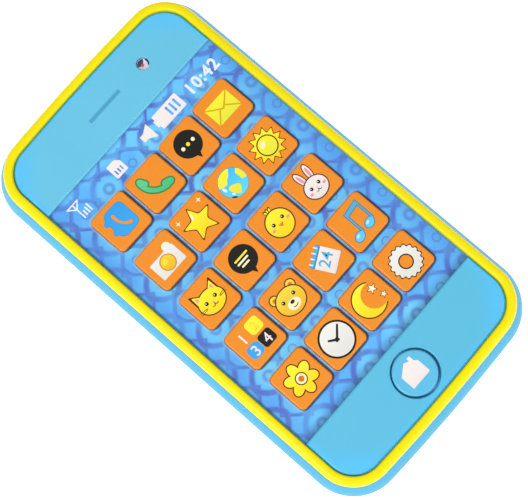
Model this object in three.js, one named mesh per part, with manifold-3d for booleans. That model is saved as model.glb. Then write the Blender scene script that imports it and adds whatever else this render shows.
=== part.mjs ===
// Toy cell phone: a flat plastic pretend phone with twenty picture keys, a round home button,
// a printed screen, a speaker and three button cells behind a screwed battery cover.
//
// Units are millimetres. The phone lies on its back: +X is to the right of someone who looks at
// the face, +Y points to the earpiece, +Z comes out of the face, and the origin is the middle of
// the flat back.
import * as THREE from 'three';
import { mergeVertices } from 'three/addons/utils/BufferGeometryUtils.js';
import Module from 'manifold-3d';

const wasm = await Module();
wasm.setup();

// ---------------------------------------------------------------- driving dimensions

// Every outline of the casing is an offset of the trim ring's outer edge, which has straight
// sides, round corners and gently crowned ends.
const RING_HALF_WIDTH = 32;
const RING_HALF_LENGTH = 59.87; // at the crown of the ends
const RING_CORNER_RADIUS = 10.4;
const RING_END_RADIUS = 540;
const CORNER_STEPS = 5;
const END_STEPS = 4;
const CASE_HALF_WIDTH = RING_HALF_WIDTH + 2; // the rear shell bulges past the ring
const END_BULGE = 0.3; // and its ends bulge this much further than its sides
const CAVITY_HALF_WIDTH = 30.2;
const CAVITY_FLOOR_HALF_WIDTH = 28.6;
const RING_INNER_HALF_WIDTH = 29.4;
const FASCIA_HALF_WIDTH = 29.05;
const LABEL_HALF_WIDTH = 28.9;

// Heights, from the back to the face
const BACK_WALL = 1.8;
const BULGE_Z = 7.2;
const RIM_Z = 12.4;
const PCB_Z = [8.9, 9.9];
const MAT_TOP = 10.7;
const DOME_TOP = 12.2;
const FLANGE_Z = [12.3, 13.0];
const FASCIA_BOTTOM = 13.1;
const SCREEN_FLOOR = 14.1;
const LABEL_Z = [14.12, 14.37];
const PANEL_TOP = 15;
const KEY_TOP = 15.6;
const RING_TOP = 15.65;

// Screen and key grid
const SCREEN_HALF_LENGTH = 41.1;
const KEY_HALF = 5.55;
const KEY_CORNER = 1.3;
const KEY_PITCH_X = 12.28;
const KEY_PITCH_Y = 14.28;
const GRID_CENTRE_Y = -1.75;
const HOLE_CLEARANCE = 0.35;
const HOLE_CHAMFER = 0.9;
const FLANGE_HALF_X = 6;
const FLANGE_HALF_Y = 6.4;
const HOME = { y: -49.45, radius: 5.45, hole: 5.8, flange: 6.1 };
const LED = { x: 14, y: 49.25, radius: 1.5, hole: 1.75 };
const EARPIECE = { y: 49.05, halfLength: 5.3, halfWidth: 0.5, corner: 0.2, depth: 0.4 };

// Fixings
const CASE_SCREW = { x: 25, y: 50, headRadius: 2, shankRadius: 1 };
const PCB_SCREW = { x: 24, y: 41, headRadius: 1.6, shankRadius: 0.8 };
const THREAD_GAP = 0.35;

// Speaker, switch and battery bay
const SPEAKER = { y: 33, radius: 14.5 };
const SWITCH = { y: 0, halfTravel: 1.5 };
const CELL = { radius: 5.8, height: 5.4, pitch: 12.8, y: -34, bottom: 2.1 };
const BAY = { halfX: 19.75, minY: -44.45, maxY: -19.35, ceiling: 8, wall: 1.2, roof: 0.7 };
const COVER = { halfX: 19.5, minY: -44.2, maxY: -19.6, z0: 0.1, z1: 1.7, tabX: 10.5 };
const COVER_SCREW = { y: -23.4, headRadius: 2, shankRadius: 1 };

// The icon that each key carries, row by row from the earpiece end
const KEY_ROWS = [
  ['phone_book', 'handset', 'chat', 'mail'],
  ['camera', 'star', 'globe', 'sun'],
  ['cat', 'speech', 'chick', 'rabbit'],
  ['numbers', 'bear', 'calendar', 'music'],
  ['flower', 'clock', 'moon', 'settings'],
];

// ---------------------------------------------------------------- materials

const plastic = (color, roughness = 0.4) =>
  new THREE.MeshStandardMaterial({ color, roughness, metalness: 0 });
const metal = (color, roughness = 0.35) =>
  new THREE.MeshStandardMaterial({ color, roughness, metalness: 1 });

const casingPlastic = plastic(0x74c9ec);
const cyanPlastic = plastic(0x4fc3ee);
const yellowPlastic = plastic(0xf2e01c);
const orangePlastic = plastic(0xff9329);
const homePlastic = plastic(0x58bdf0);
const printedFilm = plastic(0x62b6f2, 0.5);
const blackPlastic = plastic(0x1c1c1e, 0.5);
const greenBoard = plastic(0x2c7a45, 0.5);
const greyRubber = plastic(0xb9bcc0, 0.8);
const clearLens = plastic(0xb5443a, 0.1);
const speakerPaper = plastic(0x2b2b2d, 0.9);
const redWire = plastic(0xc22a22, 0.5);
const blackWire = plastic(0x202022, 0.5);
const steel = metal(0xb4b7ba);
const zincSteel = metal(0xc9c6bc);
const ferrite = metal(0x8d9093, 0.5);

// ---------------------------------------------------------------- shape helpers

/** Points of a rounded rectangle, counter-clockwise, with the same number for any size. */
function roundedRectangle(halfX, halfY, radius, steps) {
  const points = [];
  const corners = [[1, 1], [-1, 1], [-1, -1], [1, -1]];
  corners.forEach(([signX, signY], corner) => {
    for (let step = 0; step <= steps; step++) {
      const angle = (corner + step / steps) * Math.PI / 2;
      points.push(new THREE.Vector2(
        signX * (halfX - radius) + radius * Math.cos(angle),
        signY * (halfY - radius) + radius * Math.sin(angle),
      ));
    }
  });
  return points;
}

/** The points of an arc, without its last one. */
function arc(centreX, centreY, radius, start, end, steps) {
  return Array.from({ length: steps }, (_, step) => {
    const angle = start + (end - start) * step / steps;
    return new THREE.Vector2(
      centreX + radius * Math.cos(angle), centreY + radius * Math.sin(angle));
  });
}

/**
 * The casing's outline where its half width is halfWidth: an offset of the trim ring's edge, whose
 * ends lie endBulge further out. The corner arcs run tangent into the crowned ends.
 */
function casingOutline(halfWidth, endBulge = 0) {
  const offset = halfWidth - RING_HALF_WIDTH;
  const cornerRadius = RING_CORNER_RADIUS + offset;
  const endRadius = RING_END_RADIUS + offset;
  const cornerX = halfWidth - cornerRadius;
  const endY = RING_HALF_LENGTH + offset + endBulge - endRadius;
  const rise = Math.sqrt((endRadius - cornerRadius) ** 2 - cornerX ** 2);
  const cornerY = endY + rise;
  const turn = Math.atan2(rise, cornerX);
  const half = [
    ...arc(cornerX, cornerY, cornerRadius, 0, turn, CORNER_STEPS),
    ...arc(0, endY, endRadius, turn, Math.PI - turn, END_STEPS),
    ...arc(-cornerX, cornerY, cornerRadius, Math.PI - turn, Math.PI, CORNER_STEPS),
    new THREE.Vector2(-halfWidth, cornerY),
  ];
  return [...half, ...half.map((point) => point.clone().negate())];
}

/**
 * A closed surface through level outlines, each { points, z } with the same number of points.
 * Open ends are capped; an endless surface joins its last outline to its first.
 */
function loft(levels, endless = false) {
  const count = levels[0].points.length;
  const position = levels.flatMap(({ points, z }) => points.flatMap((p) => [p.x, p.y, z]));
  const index = [];
  const bands = endless ? levels.length : levels.length - 1;
  for (let band = 0; band < bands; band++) {
    const low = band * count;
    const high = ((band + 1) % levels.length) * count;
    for (let i = 0; i < count; i++) {
      const j = (i + 1) % count;
      index.push(low + i, low + j, high + j, low + i, high + j, high + i);
    }
  }
  if (!endless) {
    const last = (levels.length - 1) * count;
    for (let i = 1; i < count - 1; i++) {
      index.push(0, i + 1, i, last, last + i, last + i + 1);
    }
  }
  const geometry = new THREE.BufferGeometry();
  geometry.setAttribute('position', new THREE.Float32BufferAttribute(position, 3));
  geometry.setIndex(index);
  return geometry;
}

/** Turns a closed three.js geometry into a manifold-3d solid. */
function solidFrom(geometry) {
  const bare = geometry.clone();
  bare.deleteAttribute('normal');
  bare.deleteAttribute('uv');
  const merged = mergeVertices(bare, 1e-4);
  const triangles = [];
  for (let i = 0; i < merged.index.count; i += 3) {
    const [a, b, c] = [0, 1, 2].map((k) => merged.index.getX(i + k));
    if (a !== b && b !== c && c !== a) triangles.push(a, b, c);
  }
  return new wasm.Manifold(new wasm.Mesh({
    numProp: 3,
    vertProperties: new Float32Array(merged.attributes.position.array),
    triVerts: new Uint32Array(triangles),
  }));
}

/** Turns a manifold-3d solid back into a three.js geometry. */
function geometryFrom(solid) {
  const mesh = solid.getMesh();
  const geometry = new THREE.BufferGeometry();
  geometry.setAttribute('position', new THREE.Float32BufferAttribute(mesh.vertProperties, 3));
  geometry.setIndex([...mesh.triVerts]);
  geometry.computeVertexNormals();
  return geometry;
}

const join = (solid, ...others) => others.reduce((whole, other) => whole.add(other), solid);
const cut = (solid, ...others) => others.reduce((whole, other) => whole.subtract(other), solid);

/** A box between two corners. */
function box([x0, y0, z0], [x1, y1, z1]) {
  const geometry = new THREE.BoxGeometry(x1 - x0, y1 - y0, z1 - z0);
  return solidFrom(geometry.translate((x0 + x1) / 2, (y0 + y1) / 2, (z0 + z1) / 2));
}

/** An upright cylinder. */
function cylinder(x, y, z0, z1, radius, sides = 12) {
  const geometry = new THREE.CylinderGeometry(radius, radius, z1 - z0, sides);
  return solidFrom(geometry.rotateX(Math.PI / 2).translate(x, y, (z0 + z1) / 2));
}

/** A solid turned about the Z axis from [radius, z] pairs that run anticlockwise. */
function turned(profile, sides = 20) {
  const points = profile.map(([radius, z]) => new THREE.Vector2(radius, z));
  return solidFrom(new THREE.LatheGeometry(points, sides).rotateX(Math.PI / 2));
}

/** A straight-sided plate of a rounded rectangle. */
function plate(x, y, halfX, halfY, radius, z0, z1, steps = 1) {
  const points = roundedRectangle(halfX, halfY, radius, steps);
  return solidFrom(loft([{ points, z: z0 }, { points, z: z1 }]).translate(x, y, 0));
}

/** Runs make(signX, signY) for the four quarters of the phone. */
const inFourQuarters = (make) =>
  [[1, 1], [-1, 1], [-1, -1], [1, -1]].map(([signX, signY]) => make(signX, signY));

// ---------------------------------------------------------------- the key grid

const keySpots = KEY_ROWS.flatMap((row, rowNumber) => row.map((icon, column) => ({
  icon,
  x: (column - (row.length - 1) / 2) * KEY_PITCH_X,
  y: GRID_CENTRE_Y + ((KEY_ROWS.length - 1) / 2 - rowNumber) * KEY_PITCH_Y,
})));

const phone = new THREE.Group();

function addPart(name, shape, material, parent = phone) {
  const geometry = shape.isBufferGeometry ? shape : geometryFrom(shape);
  const mesh = new THREE.Mesh(geometry, material);
  mesh.name = name;
  parent.add(mesh);
  return mesh;
}

// ---------------------------------------------------------------- rear shell

/** The tub itself: a flat back, a side that bulges and leans in to the rim, and a hollow. */
function shellTub() {
  const flatHalfWidth = CASE_HALF_WIDTH - 6;
  const rimHalfWidth = RING_HALF_WIDTH + 0.15;
  const levels = [];
  const addLevel = (halfWidth, z, endBulge = 0) => {
    levels.push({ points: casingOutline(halfWidth, endBulge), z });
  };
  const sideSteps = 6;
  for (let step = 0; step <= sideSteps; step++) {
    const angle = step / sideSteps * Math.PI / 2;
    addLevel(
      flatHalfWidth + (CASE_HALF_WIDTH - flatHalfWidth) * Math.sin(angle),
      BULGE_Z * (1 - Math.cos(angle)), END_BULGE * Math.sin(angle));
  }
  const shoulderSteps = 4;
  for (let step = 1; step <= shoulderSteps; step++) {
    const lean = (step / shoulderSteps) ** 1.35;
    addLevel(
      CASE_HALF_WIDTH - (CASE_HALF_WIDTH - rimHalfWidth) * lean,
      BULGE_Z + (RIM_Z - BULGE_Z) * step / shoulderSteps, END_BULGE * (1 - lean));
  }
  addLevel(CAVITY_HALF_WIDTH, RIM_Z);
  addLevel(CAVITY_HALF_WIDTH, 4.5);
  addLevel(CAVITY_FLOOR_HALF_WIDTH, BACK_WALL);
  return solidFrom(loft(levels));
}

/** Sound holes: one in the middle and rings of six and twelve around it. */
function grilleHoles() {
  const holes = [[0, 1], [4.2, 6], [8.4, 12]].flatMap(([ringRadius, count]) =>
    Array.from({ length: count }, (_, i) => {
      const angle = i / count * 2 * Math.PI;
      return cylinder(
        ringRadius * Math.cos(angle), SPEAKER.y + ringRadius * Math.sin(angle),
        -1, BACK_WALL + 1, 0.9, 6);
    }));
  return join(...holes);
}

/** The battery box stands round its opening, with a block inside that holds the three cells. */
function addBatteryBay(shell) {
  const { halfX, minY, maxY, ceiling, wall, roof } = BAY;
  const outer = box([-halfX - wall, minY - wall, 1], [halfX + wall, maxY + wall, ceiling + roof]);
  const inner = box([-halfX, minY, -1], [halfX, maxY, ceiling]);
  const cradle = box(
    [-halfX - 0.5, CELL.y - 7.4, BACK_WALL], [halfX + 0.5, CELL.y + 7.4, ceiling + 0.2]);
  const pockets = [-1, 0, 1].map((place) => cylinder(
    place * CELL.pitch, CELL.y, 0, ceiling, CELL.radius + 0.3, 20));
  const tabSlots = [-1, 1].map((side) => box(
    [side * COVER.tabX - 2.6, minY - wall - 1, BACK_WALL], [side * COVER.tabX + 2.6, minY + 1, 4.2]));
  const stripHalf = 2.8;
  const ceilingGroove = box(
    [-halfX - wall - 1, CELL.y - stripHalf, 7.4], [halfX + wall + 1, CELL.y + stripHalf, ceiling]);
  const ceilingStop = box(
    [-CELL.pitch / 2 - 0.3, CELL.y - 3.5, 7.3], [-CELL.pitch / 2 + 0.3, CELL.y + 3.5, 8.1]);
  const coverGroove = box(
    [-CELL.pitch, CELL.y - stripHalf, BACK_WALL - 0.5], [0, CELL.y + stripHalf, 2.3]);
  const sideGroove = box(
    [CELL.pitch + 5, CELL.y - 2.4, BACK_WALL - 0.5], [halfX - 0.3, CELL.y + 2.4, ceiling]);
  const screwBoss = cylinder(0, COVER_SCREW.y, 3.4, ceiling + 0.3, 2.7);
  const screwHole = cylinder(0, COVER_SCREW.y, 3, 6.4, COVER_SCREW.shankRadius + THREAD_GAP);
  return cut(
    join(cut(join(shell, outer), inner), cradle, screwBoss),
    ...pockets, ...tabSlots, ceilingGroove, coverGroove, sideGroove, screwHole,
  ).add(ceilingStop);
}

/** Screw pillars, with a deep counterbore from the back. */
function addScrewPillars(shell) {
  const pillars = inFourQuarters((sx, sy) =>
    cylinder(sx * CASE_SCREW.x, sy * CASE_SCREW.y, 1, 6.1, 3.2));
  const bores = inFourQuarters((sx, sy) => join(
    cylinder(sx * CASE_SCREW.x, sy * CASE_SCREW.y, -1, 3, CASE_SCREW.headRadius + 0.4),
    cylinder(sx * CASE_SCREW.x, sy * CASE_SCREW.y, 2.9, 7, CASE_SCREW.shankRadius + 0.45)));
  return cut(join(shell, ...pillars), ...bores);
}

function rearShell() {
  const speakerSeat = cylinder(0, SPEAKER.y, 1.5, 4.2, SPEAKER.radius + 1.6, 24)
    .subtract(cylinder(0, SPEAKER.y, BACK_WALL, 5, SPEAKER.radius + 0.4, 24));
  const switchDish = plate(0, SWITCH.y, 7, 3.4, 1.6, -1, 0.8, 2);
  const switchSlot = box([-5.2, SWITCH.y - 2, -1], [5.2, SWITCH.y + 2, BACK_WALL + 1]);
  const shell = addScrewPillars(addBatteryBay(join(shellTub(), speakerSeat)));
  return cut(shell, grilleHoles(), switchDish, switchSlot);
}

addPart('rear_shell', rearShell(), casingPlastic);

// ---------------------------------------------------------------- trim ring

/** The ring stands on the rear shell's rim, with a tongue inside it and a ledge for the fascia. */
function trimRing() {
  const ledge = { halfWidth: 28, bottom: 12, top: FASCIA_BOTTOM - 0.1 };
  const tongue = { inner: 28.6, outer: CAVITY_HALF_WIDTH - 0.2, bottom: 10.4 };
  const section = [
    [RING_HALF_WIDTH, RIM_Z + 0.1],
    [RING_HALF_WIDTH, 13.3],
    [RING_HALF_WIDTH - 0.17, 14.4],
    [RING_HALF_WIDTH - 0.65, 15.3],
    [(RING_HALF_WIDTH + RING_INNER_HALF_WIDTH) / 2, RING_TOP],
    [RING_INNER_HALF_WIDTH + 0.6, 15.5],
    [RING_INNER_HALF_WIDTH + 0.15, 15.1],
    [RING_INNER_HALF_WIDTH, 14.5],
    [RING_INNER_HALF_WIDTH, ledge.top],
    [ledge.halfWidth, ledge.top],
    [ledge.halfWidth, ledge.bottom],
    [tongue.inner, ledge.bottom],
    [tongue.inner, tongue.bottom],
    [tongue.outer, tongue.bottom],
    [tongue.outer, RIM_Z + 0.1],
  ];
  return loft(section.map(([halfWidth, z]) => ({ points: casingOutline(halfWidth), z })), true);
}

addPart('bezel_ring', trimRing(), yellowPlastic);

// ---------------------------------------------------------------- front fascia

function frontFascia() {
  const edge = 0.4;
  const blank = solidFrom(loft([
    { points: casingOutline(FASCIA_HALF_WIDTH), z: FASCIA_BOTTOM },
    { points: casingOutline(FASCIA_HALF_WIDTH), z: PANEL_TOP - edge },
    { points: casingOutline(FASCIA_HALF_WIDTH - edge), z: PANEL_TOP },
  ]));
  const screen = box(
    [-FASCIA_HALF_WIDTH - 1, -SCREEN_HALF_LENGTH, SCREEN_FLOOR],
    [FASCIA_HALF_WIDTH + 1, SCREEN_HALF_LENGTH, PANEL_TOP + 1]);
  const holeHalf = KEY_HALF + HOLE_CLEARANCE;
  const keyHoles = keySpots.map(({ x, y }) => plate(
    x, y, holeHalf, holeHalf, HOLE_CHAMFER, FASCIA_BOTTOM - 1, PANEL_TOP));
  const homeHole = cylinder(0, HOME.y, FASCIA_BOTTOM - 1, PANEL_TOP + 1, HOME.hole, 24);
  const ledHole = cylinder(LED.x, LED.y, FASCIA_BOTTOM - 1, PANEL_TOP + 1, LED.hole);
  const earpiece = plate(
    0, EARPIECE.y, EARPIECE.halfLength, EARPIECE.halfWidth, EARPIECE.corner,
    PANEL_TOP - EARPIECE.depth, PANEL_TOP + 1, 2);
  const pillars = inFourQuarters((sx, sy) => join(
    cylinder(sx * CASE_SCREW.x, sy * CASE_SCREW.y, 6.3, FASCIA_BOTTOM + 0.3, 2.6),
    cylinder(sx * PCB_SCREW.x, sy * PCB_SCREW.y, PCB_Z[1] + 0.1, FASCIA_BOTTOM + 0.3, 1.9)));
  const pilots = inFourQuarters((sx, sy) => join(
    cylinder(sx * CASE_SCREW.x, sy * CASE_SCREW.y, 6, 11.5, CASE_SCREW.shankRadius + THREAD_GAP),
    cylinder(sx * PCB_SCREW.x, sy * PCB_SCREW.y, 9, 12.7, PCB_SCREW.shankRadius + THREAD_GAP)));
  return cut(
    join(blank, ...pillars), screen, ...keyHoles, homeHole, ledHole, earpiece, ...pilots);
}

addPart('front_fascia', frontFascia(), cyanPlastic);

// ---------------------------------------------------------------- printed screen film

function screenLabel() {
  const corner = 0.5;
  const holeHalf = KEY_HALF + HOLE_CLEARANCE + 0.05;
  const film = plate(
    0, 0, LABEL_HALF_WIDTH, SCREEN_HALF_LENGTH - 0.2, corner, LABEL_Z[0], LABEL_Z[1]);
  return cut(film, ...keySpots.map(({ x, y }) => plate(
    x, y, holeHalf, holeHalf, HOLE_CHAMFER, LABEL_Z[0] - 1, LABEL_Z[1] + 1)));
}

addPart('screen_label', screenLabel(), printedFilm);

// ---------------------------------------------------------------- keys and home button

/** One key: a flange that stays behind the fascia and a cap with a softened top edge. */
function keyCap() {
  const soft = 0.35;
  const steps = 2;
  const cap = (inset, z) => ({
    points: roundedRectangle(KEY_HALF - inset, KEY_HALF - inset, KEY_CORNER - inset, steps), z });
  const flange = (z) => ({
    points: roundedRectangle(FLANGE_HALF_X, FLANGE_HALF_Y, KEY_CORNER, steps), z });
  return loft([
    flange(0),
    flange(FLANGE_Z[1] - FLANGE_Z[0]),
    cap(0, FLANGE_Z[1] - FLANGE_Z[0]),
    cap(0, KEY_TOP - FLANGE_Z[0] - soft),
    cap(soft, KEY_TOP - FLANGE_Z[0]),
  ]);
}

const keyGeometry = keyCap();
for (const { icon, x, y } of keySpots) {
  const key = addPart(`key_${icon}`, keyGeometry, orangePlastic);
  key.position.set(x, y, FLANGE_Z[0]);
}

const homeButton = turned([
  [0, FLANGE_Z[0]],
  [HOME.flange, FLANGE_Z[0]],
  [HOME.flange, FLANGE_Z[1]],
  [HOME.radius, FLANGE_Z[1]],
  [HOME.radius, KEY_TOP - 0.5],
  [HOME.radius - 0.5, KEY_TOP],
  [0, KEY_TOP],
], 24);
addPart('home_button', geometryFrom(homeButton), homePlastic).position.set(0, HOME.y, 0);

// ---------------------------------------------------------------- rubber keypad

/** A thin mat with one hollow dome under each key. */
function rubberKeypad() {
  const halfX = 26.4;
  const [minY, maxY] = [-53.8, 33.8];
  const sheet = box([-halfX, minY, PCB_Z[1]], [halfX, maxY, MAT_TOP]);
  const cornerNotches = [-1, 1].map((side) => box(
    [side * 24 - 3, minY - 1, 9], [side * 24 + 3, -46, 12]));
  const screwHoles = [-1, 1].map((side) => cylinder(
    side * PCB_SCREW.x, -PCB_SCREW.y, 9, 12, 2.3, 8));
  const domeSpots = [...keySpots, { x: 0, y: HOME.y }];
  const dome = (footRadius, topRadius, z0, z1, { x, y }) => solidFrom(
    new THREE.CylinderGeometry(topRadius, footRadius, z1 - z0, 8)
      .rotateX(Math.PI / 2).translate(x, y, (z0 + z1) / 2));
  const domes = domeSpots.map((spot) => dome(3.6, 2.3, MAT_TOP - 0.2, DOME_TOP, spot));
  const hollows = domeSpots.map((spot) => dome(3.1, 1.8, PCB_Z[1] - 0.2, 11.5, spot));
  return cut(join(sheet, ...domes), ...cornerNotches, ...screwHoles, ...hollows);
}

addPart('rubber_keypad', rubberKeypad(), greyRubber);

// ---------------------------------------------------------------- circuit board

function mainBoard() {
  const [halfX, halfY] = [27, 54.5];
  const board = box([-halfX, -halfY, PCB_Z[0]], [halfX, halfY, PCB_Z[1]]);
  const notches = inFourQuarters((sx, sy) => box(
    [sx * 25 - 3.4, sy * 52 - 5.4, 8], [sx * 25 + 3.4, sy * 52 + 5.4, 11]));
  const holes = inFourQuarters((sx, sy) => cylinder(
    sx * PCB_SCREW.x, sy * PCB_SCREW.y, 8, 11, PCB_SCREW.shankRadius + 0.3, 8));
  const leadHoles = [-1, 1].map((side) => box(
    [LED.x + side * 0.7 - 0.45, LED.y - 0.5, 8], [LED.x + side * 0.7 + 0.45, LED.y + 0.5, 11]));
  return cut(board, ...notches, ...holes, ...leadHoles);
}

addPart('main_pcb', mainBoard(), greenBoard);

const chipBlob = turned([[0, -1.4], [3.2, -1.2], [4.6, -0.7], [5.2, -0.05], [0, -0.05]], 12);
addPart('chip_blob', chipBlob, blackPlastic).position.set(13, 5, PCB_Z[0]);

/** A clear 3 mm lamp whose round end shows in the upper panel. */
function indicatorLamp() {
  const { radius } = LED;
  const lens = turned([
    [0, 10.4], [1.9, 10.4], [1.9, 11.3], [radius, 11.3], [radius, 14.1],
    [radius * 0.87, 14.85], [radius * 0.5, 15.3], [0, 15.45],
  ], 12);
  const leads = [-1, 1].map((side) => box(
    [side * 0.7 - 0.2, -0.2, 8.2], [side * 0.7 + 0.2, 0.2, 10.6]));
  return join(lens, ...leads);
}

addPart('indicator_led', indicatorLamp(), clearLens).position.set(LED.x, LED.y, 0);

// ---------------------------------------------------------------- speaker

const speaker = new THREE.Group();
speaker.position.set(0, SPEAKER.y, 0);
phone.add(speaker);

const speakerFrame = turned([
  [12.9, 2], [SPEAKER.radius, 2], [SPEAKER.radius, 3], [13.4, 3.4], [10.2, 5.4],
  [6.2, 5.4], [6.2, 4.9], [9.9, 4.9], [12.9, 3.1], [12.9, 2],
], 24);
const speakerMagnet = turned([[0, 5.5], [6.6, 5.5], [7, 5.9], [7, 7], [6.6, 7.4], [0, 7.4]], 20);
const speakerCone = turned([
  [0, 2.9], [2.5, 3.1], [4, 3.7], [8, 3.1], [11, 2.5], [12, 2.3], [12.6, 2.5],
  [12.6, 2.8], [11, 2.8], [8, 3.4], [4, 4.05], [2.4, 3.4], [0, 3.2],
], 20);
addPart('speaker_frame', speakerFrame, zincSteel, speaker);
addPart('speaker_magnet', speakerMagnet, ferrite, speaker);
addPart('speaker_cone', speakerCone, speakerPaper, speaker);

// ---------------------------------------------------------------- slide switch

function switchHousing() {
  const housing = box([-5.6, -2.9, 5], [5.6, 2.9, PCB_Z[0] - 0.1]);
  const slot = box([-SWITCH.halfTravel - 1.6, -1.2, 4], [SWITCH.halfTravel + 1.6, 1.2, 6.8]);
  return cut(housing, slot);
}

/** The slider: a ribbed thumb piece in the dish of the back, on a stem that enters the housing. */
function switchSlider() {
  const thumb = box([-2.9, -1.6, 0.4], [2.9, 1.6, 2.2]);
  const grooves = [-1.6, 0, 1.6].map((x) => box([x - 0.3, -2, 0], [x + 0.3, 2, 0.7]));
  const stem = box([-1.2, -0.8, 2], [1.2, 0.8, 6.4]);
  return join(cut(thumb, ...grooves), stem);
}

addPart('switch_body', switchHousing(), steel).position.y = SWITCH.y;
addPart('switch_slider', switchSlider(), blackPlastic)
  .position.set(-SWITCH.halfTravel, SWITCH.y, 0);

// ---------------------------------------------------------------- cells and contacts

/** A button cell with its smaller negative cap upwards. */
const cellShape = turned([
  [0, 0], [CELL.radius - 0.4, 0], [CELL.radius, 0.4], [CELL.radius, CELL.height - 0.6],
  [CELL.radius - 0.8, CELL.height - 0.3], [CELL.radius - 1, CELL.height], [0, CELL.height],
], 20);
const cellPlaces = [['left', -1, false], ['middle', 0, true], ['right', 1, false]];
cellPlaces.forEach(([side, place, upsideDown]) => {
  const cell = addPart(`button_cell_${side}`, geometryFrom(cellShape), steel);
  cell.position.set(place * CELL.pitch, CELL.y, CELL.bottom + (upsideDown ? CELL.height : 0));
  if (upsideDown) cell.rotation.x = Math.PI;
});

const stripTop = 7.9;
const strip = (x0, x1, z0 = stripTop - 0.25, z1 = stripTop, halfY = 2.3) =>
  box([x0, CELL.y - halfY, z0], [x1, CELL.y + halfY, z1]);
addPart('contact_negative', strip(-23, -CELL.pitch + 4), zincSteel);
addPart('contact_bridge_upper', strip(-4, CELL.pitch + 4), zincSteel);
addPart('contact_bridge_cover', strip(-CELL.pitch - 4, 4, 1.75, 2), zincSteel);
addPart('contact_positive', join(
  strip(CELL.pitch + 6.05, 23),
  strip(CELL.pitch + 5.95, CELL.pitch + 6.2, 2.6, stripTop, 2)), zincSteel);

// ---------------------------------------------------------------- battery cover

function batteryCover() {
  const { halfX, minY, maxY, z0, z1, tabX } = COVER;
  const panel = plate(0, (minY + maxY) / 2, halfX, (maxY - minY) / 2, 0.6, z0, z1);
  const tabs = [-1, 1].map((side) => join(
    box([side * tabX - 2.2, minY + 0.1, z1 - 0.2], [side * tabX + 2.2, minY + 1, 2.75]),
    box([side * tabX - 2.2, minY - 1.2, 1.95], [side * tabX + 2.2, minY + 1, 2.75])));
  const boss = cylinder(0, COVER_SCREW.y, z1 - 0.2, 3.2, 3);
  const counterbore = cylinder(0, COVER_SCREW.y, -1, 2, COVER_SCREW.headRadius + 0.35);
  const clearance = cylinder(0, COVER_SCREW.y, 1.5, 4, COVER_SCREW.shankRadius + 0.3);
  const gripLines = [-1, 0, 1].map((line) => box(
    [-6, minY + 4 + line * 1.6 - 0.35, -1], [6, minY + 4 + line * 1.6 + 0.35, z0 + 0.4]));
  return cut(join(panel, ...tabs, boss), counterbore, clearance, ...gripLines);
}

addPart('battery_cover', batteryCover(), casingPlastic);

// ---------------------------------------------------------------- screws

/** A pan-head screw that points up, with its head's underside at z = 0 and a cross recess. */
function crossScrew({ headRadius, shankRadius }, headHeight, length) {
  const body = turned([
    [0, -headHeight], [headRadius - 0.4, -headHeight], [headRadius, -headHeight + 0.4],
    [headRadius, 0], [shankRadius, 0], [shankRadius, length - 0.8], [0, length],
  ], 12);
  const slotHalf = headRadius * 0.6;
  const depth = -headHeight + 0.6;
  return cut(
    body,
    box([-slotHalf, -0.25, -headHeight - 1], [slotHalf, 0.25, depth]),
    box([-0.25, -slotHalf, -headHeight - 1], [0.25, slotHalf, depth]));
}

const caseScrewShape = geometryFrom(crossScrew(CASE_SCREW, 1.5, 8));
const pcbScrewShape = geometryFrom(crossScrew(PCB_SCREW, 1.1, 3.6));
inFourQuarters((sx, sy) => {
  const corner = `${sy > 0 ? 'top' : 'bottom'}_${sx > 0 ? 'right' : 'left'}`;
  addPart(`case_screw_${corner}`, caseScrewShape, steel)
    .position.set(sx * CASE_SCREW.x, sy * CASE_SCREW.y, 2.9);
  addPart(`pcb_screw_${corner}`, pcbScrewShape, steel)
    .position.set(sx * PCB_SCREW.x, sy * PCB_SCREW.y, PCB_Z[0] - 0.1);
});
addPart('battery_cover_screw', crossScrew(COVER_SCREW, 1.3, 3.7), steel)
  .position.set(0, COVER_SCREW.y, 1.9);

// ---------------------------------------------------------------- wires

/** A thin insulated wire through hand-chosen points. */
function wire(points) {
  const radius = 0.45;
  const sides = 8;
  const route = new THREE.CatmullRomCurve3(points.map((point) => new THREE.Vector3(...point)));
  const section = new THREE.Shape(Array.from({ length: sides }, (_, i) => {
    const angle = i / sides * 2 * Math.PI;
    return new THREE.Vector2(radius * Math.cos(angle), radius * Math.sin(angle));
  }));
  return new THREE.ExtrudeGeometry(section, { steps: 12, extrudePath: route, bevelEnabled: false });
}

addPart('wire_battery_negative', wire([
  [-22.2, -34, 7.3], [-22.6, -33.2, 5.6], [-23.6, -30, 4.6], [-23.8, -22, 4.6], [-23, -14, 5.4],
  [-22.4, -11.5, 7], [-22.2, -11, 8.6],
]), blackWire);
addPart('wire_battery_positive', wire([
  [22.2, -34, 7.3], [22.6, -33.2, 5.6], [23.6, -30, 4.6], [23.8, -22, 4.6], [23, -14, 5.4],
  [22.4, -11.5, 7], [22.2, -11, 8.6],
]), redWire);
addPart('wire_speaker_positive', wire([
  [-8.4, SPEAKER.y - 5.5, 6.2], [-12.5, SPEAKER.y - 9.5, 6.6], [-17, SPEAKER.y - 13, 6],
  [-19.4, SPEAKER.y - 16, 6.6], [-20, SPEAKER.y - 17, 8.6],
]), redWire);
addPart('wire_speaker_negative', wire([
  [8.4, SPEAKER.y - 5.5, 6.2], [12.5, SPEAKER.y - 9.5, 6.6], [17, SPEAKER.y - 13, 6],
  [19.4, SPEAKER.y - 16, 6.6], [20, SPEAKER.y - 17, 8.6],
]), blackWire);

export default phone;
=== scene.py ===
"""The looks of a toy cell phone: a light blue casing with a yellow ring round its face, twenty
orange picture keys over a printed screen, a round home button, and what is inside.

Shapes are worked out in millimetres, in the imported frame: the phone lies on its back, +X is to
the right of someone who looks at the face, +Y points to the earpiece, +Z comes out of the face.
"""

import math

import bpy
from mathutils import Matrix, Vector
from mathutils.geometry import tessellate_polygon


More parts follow.
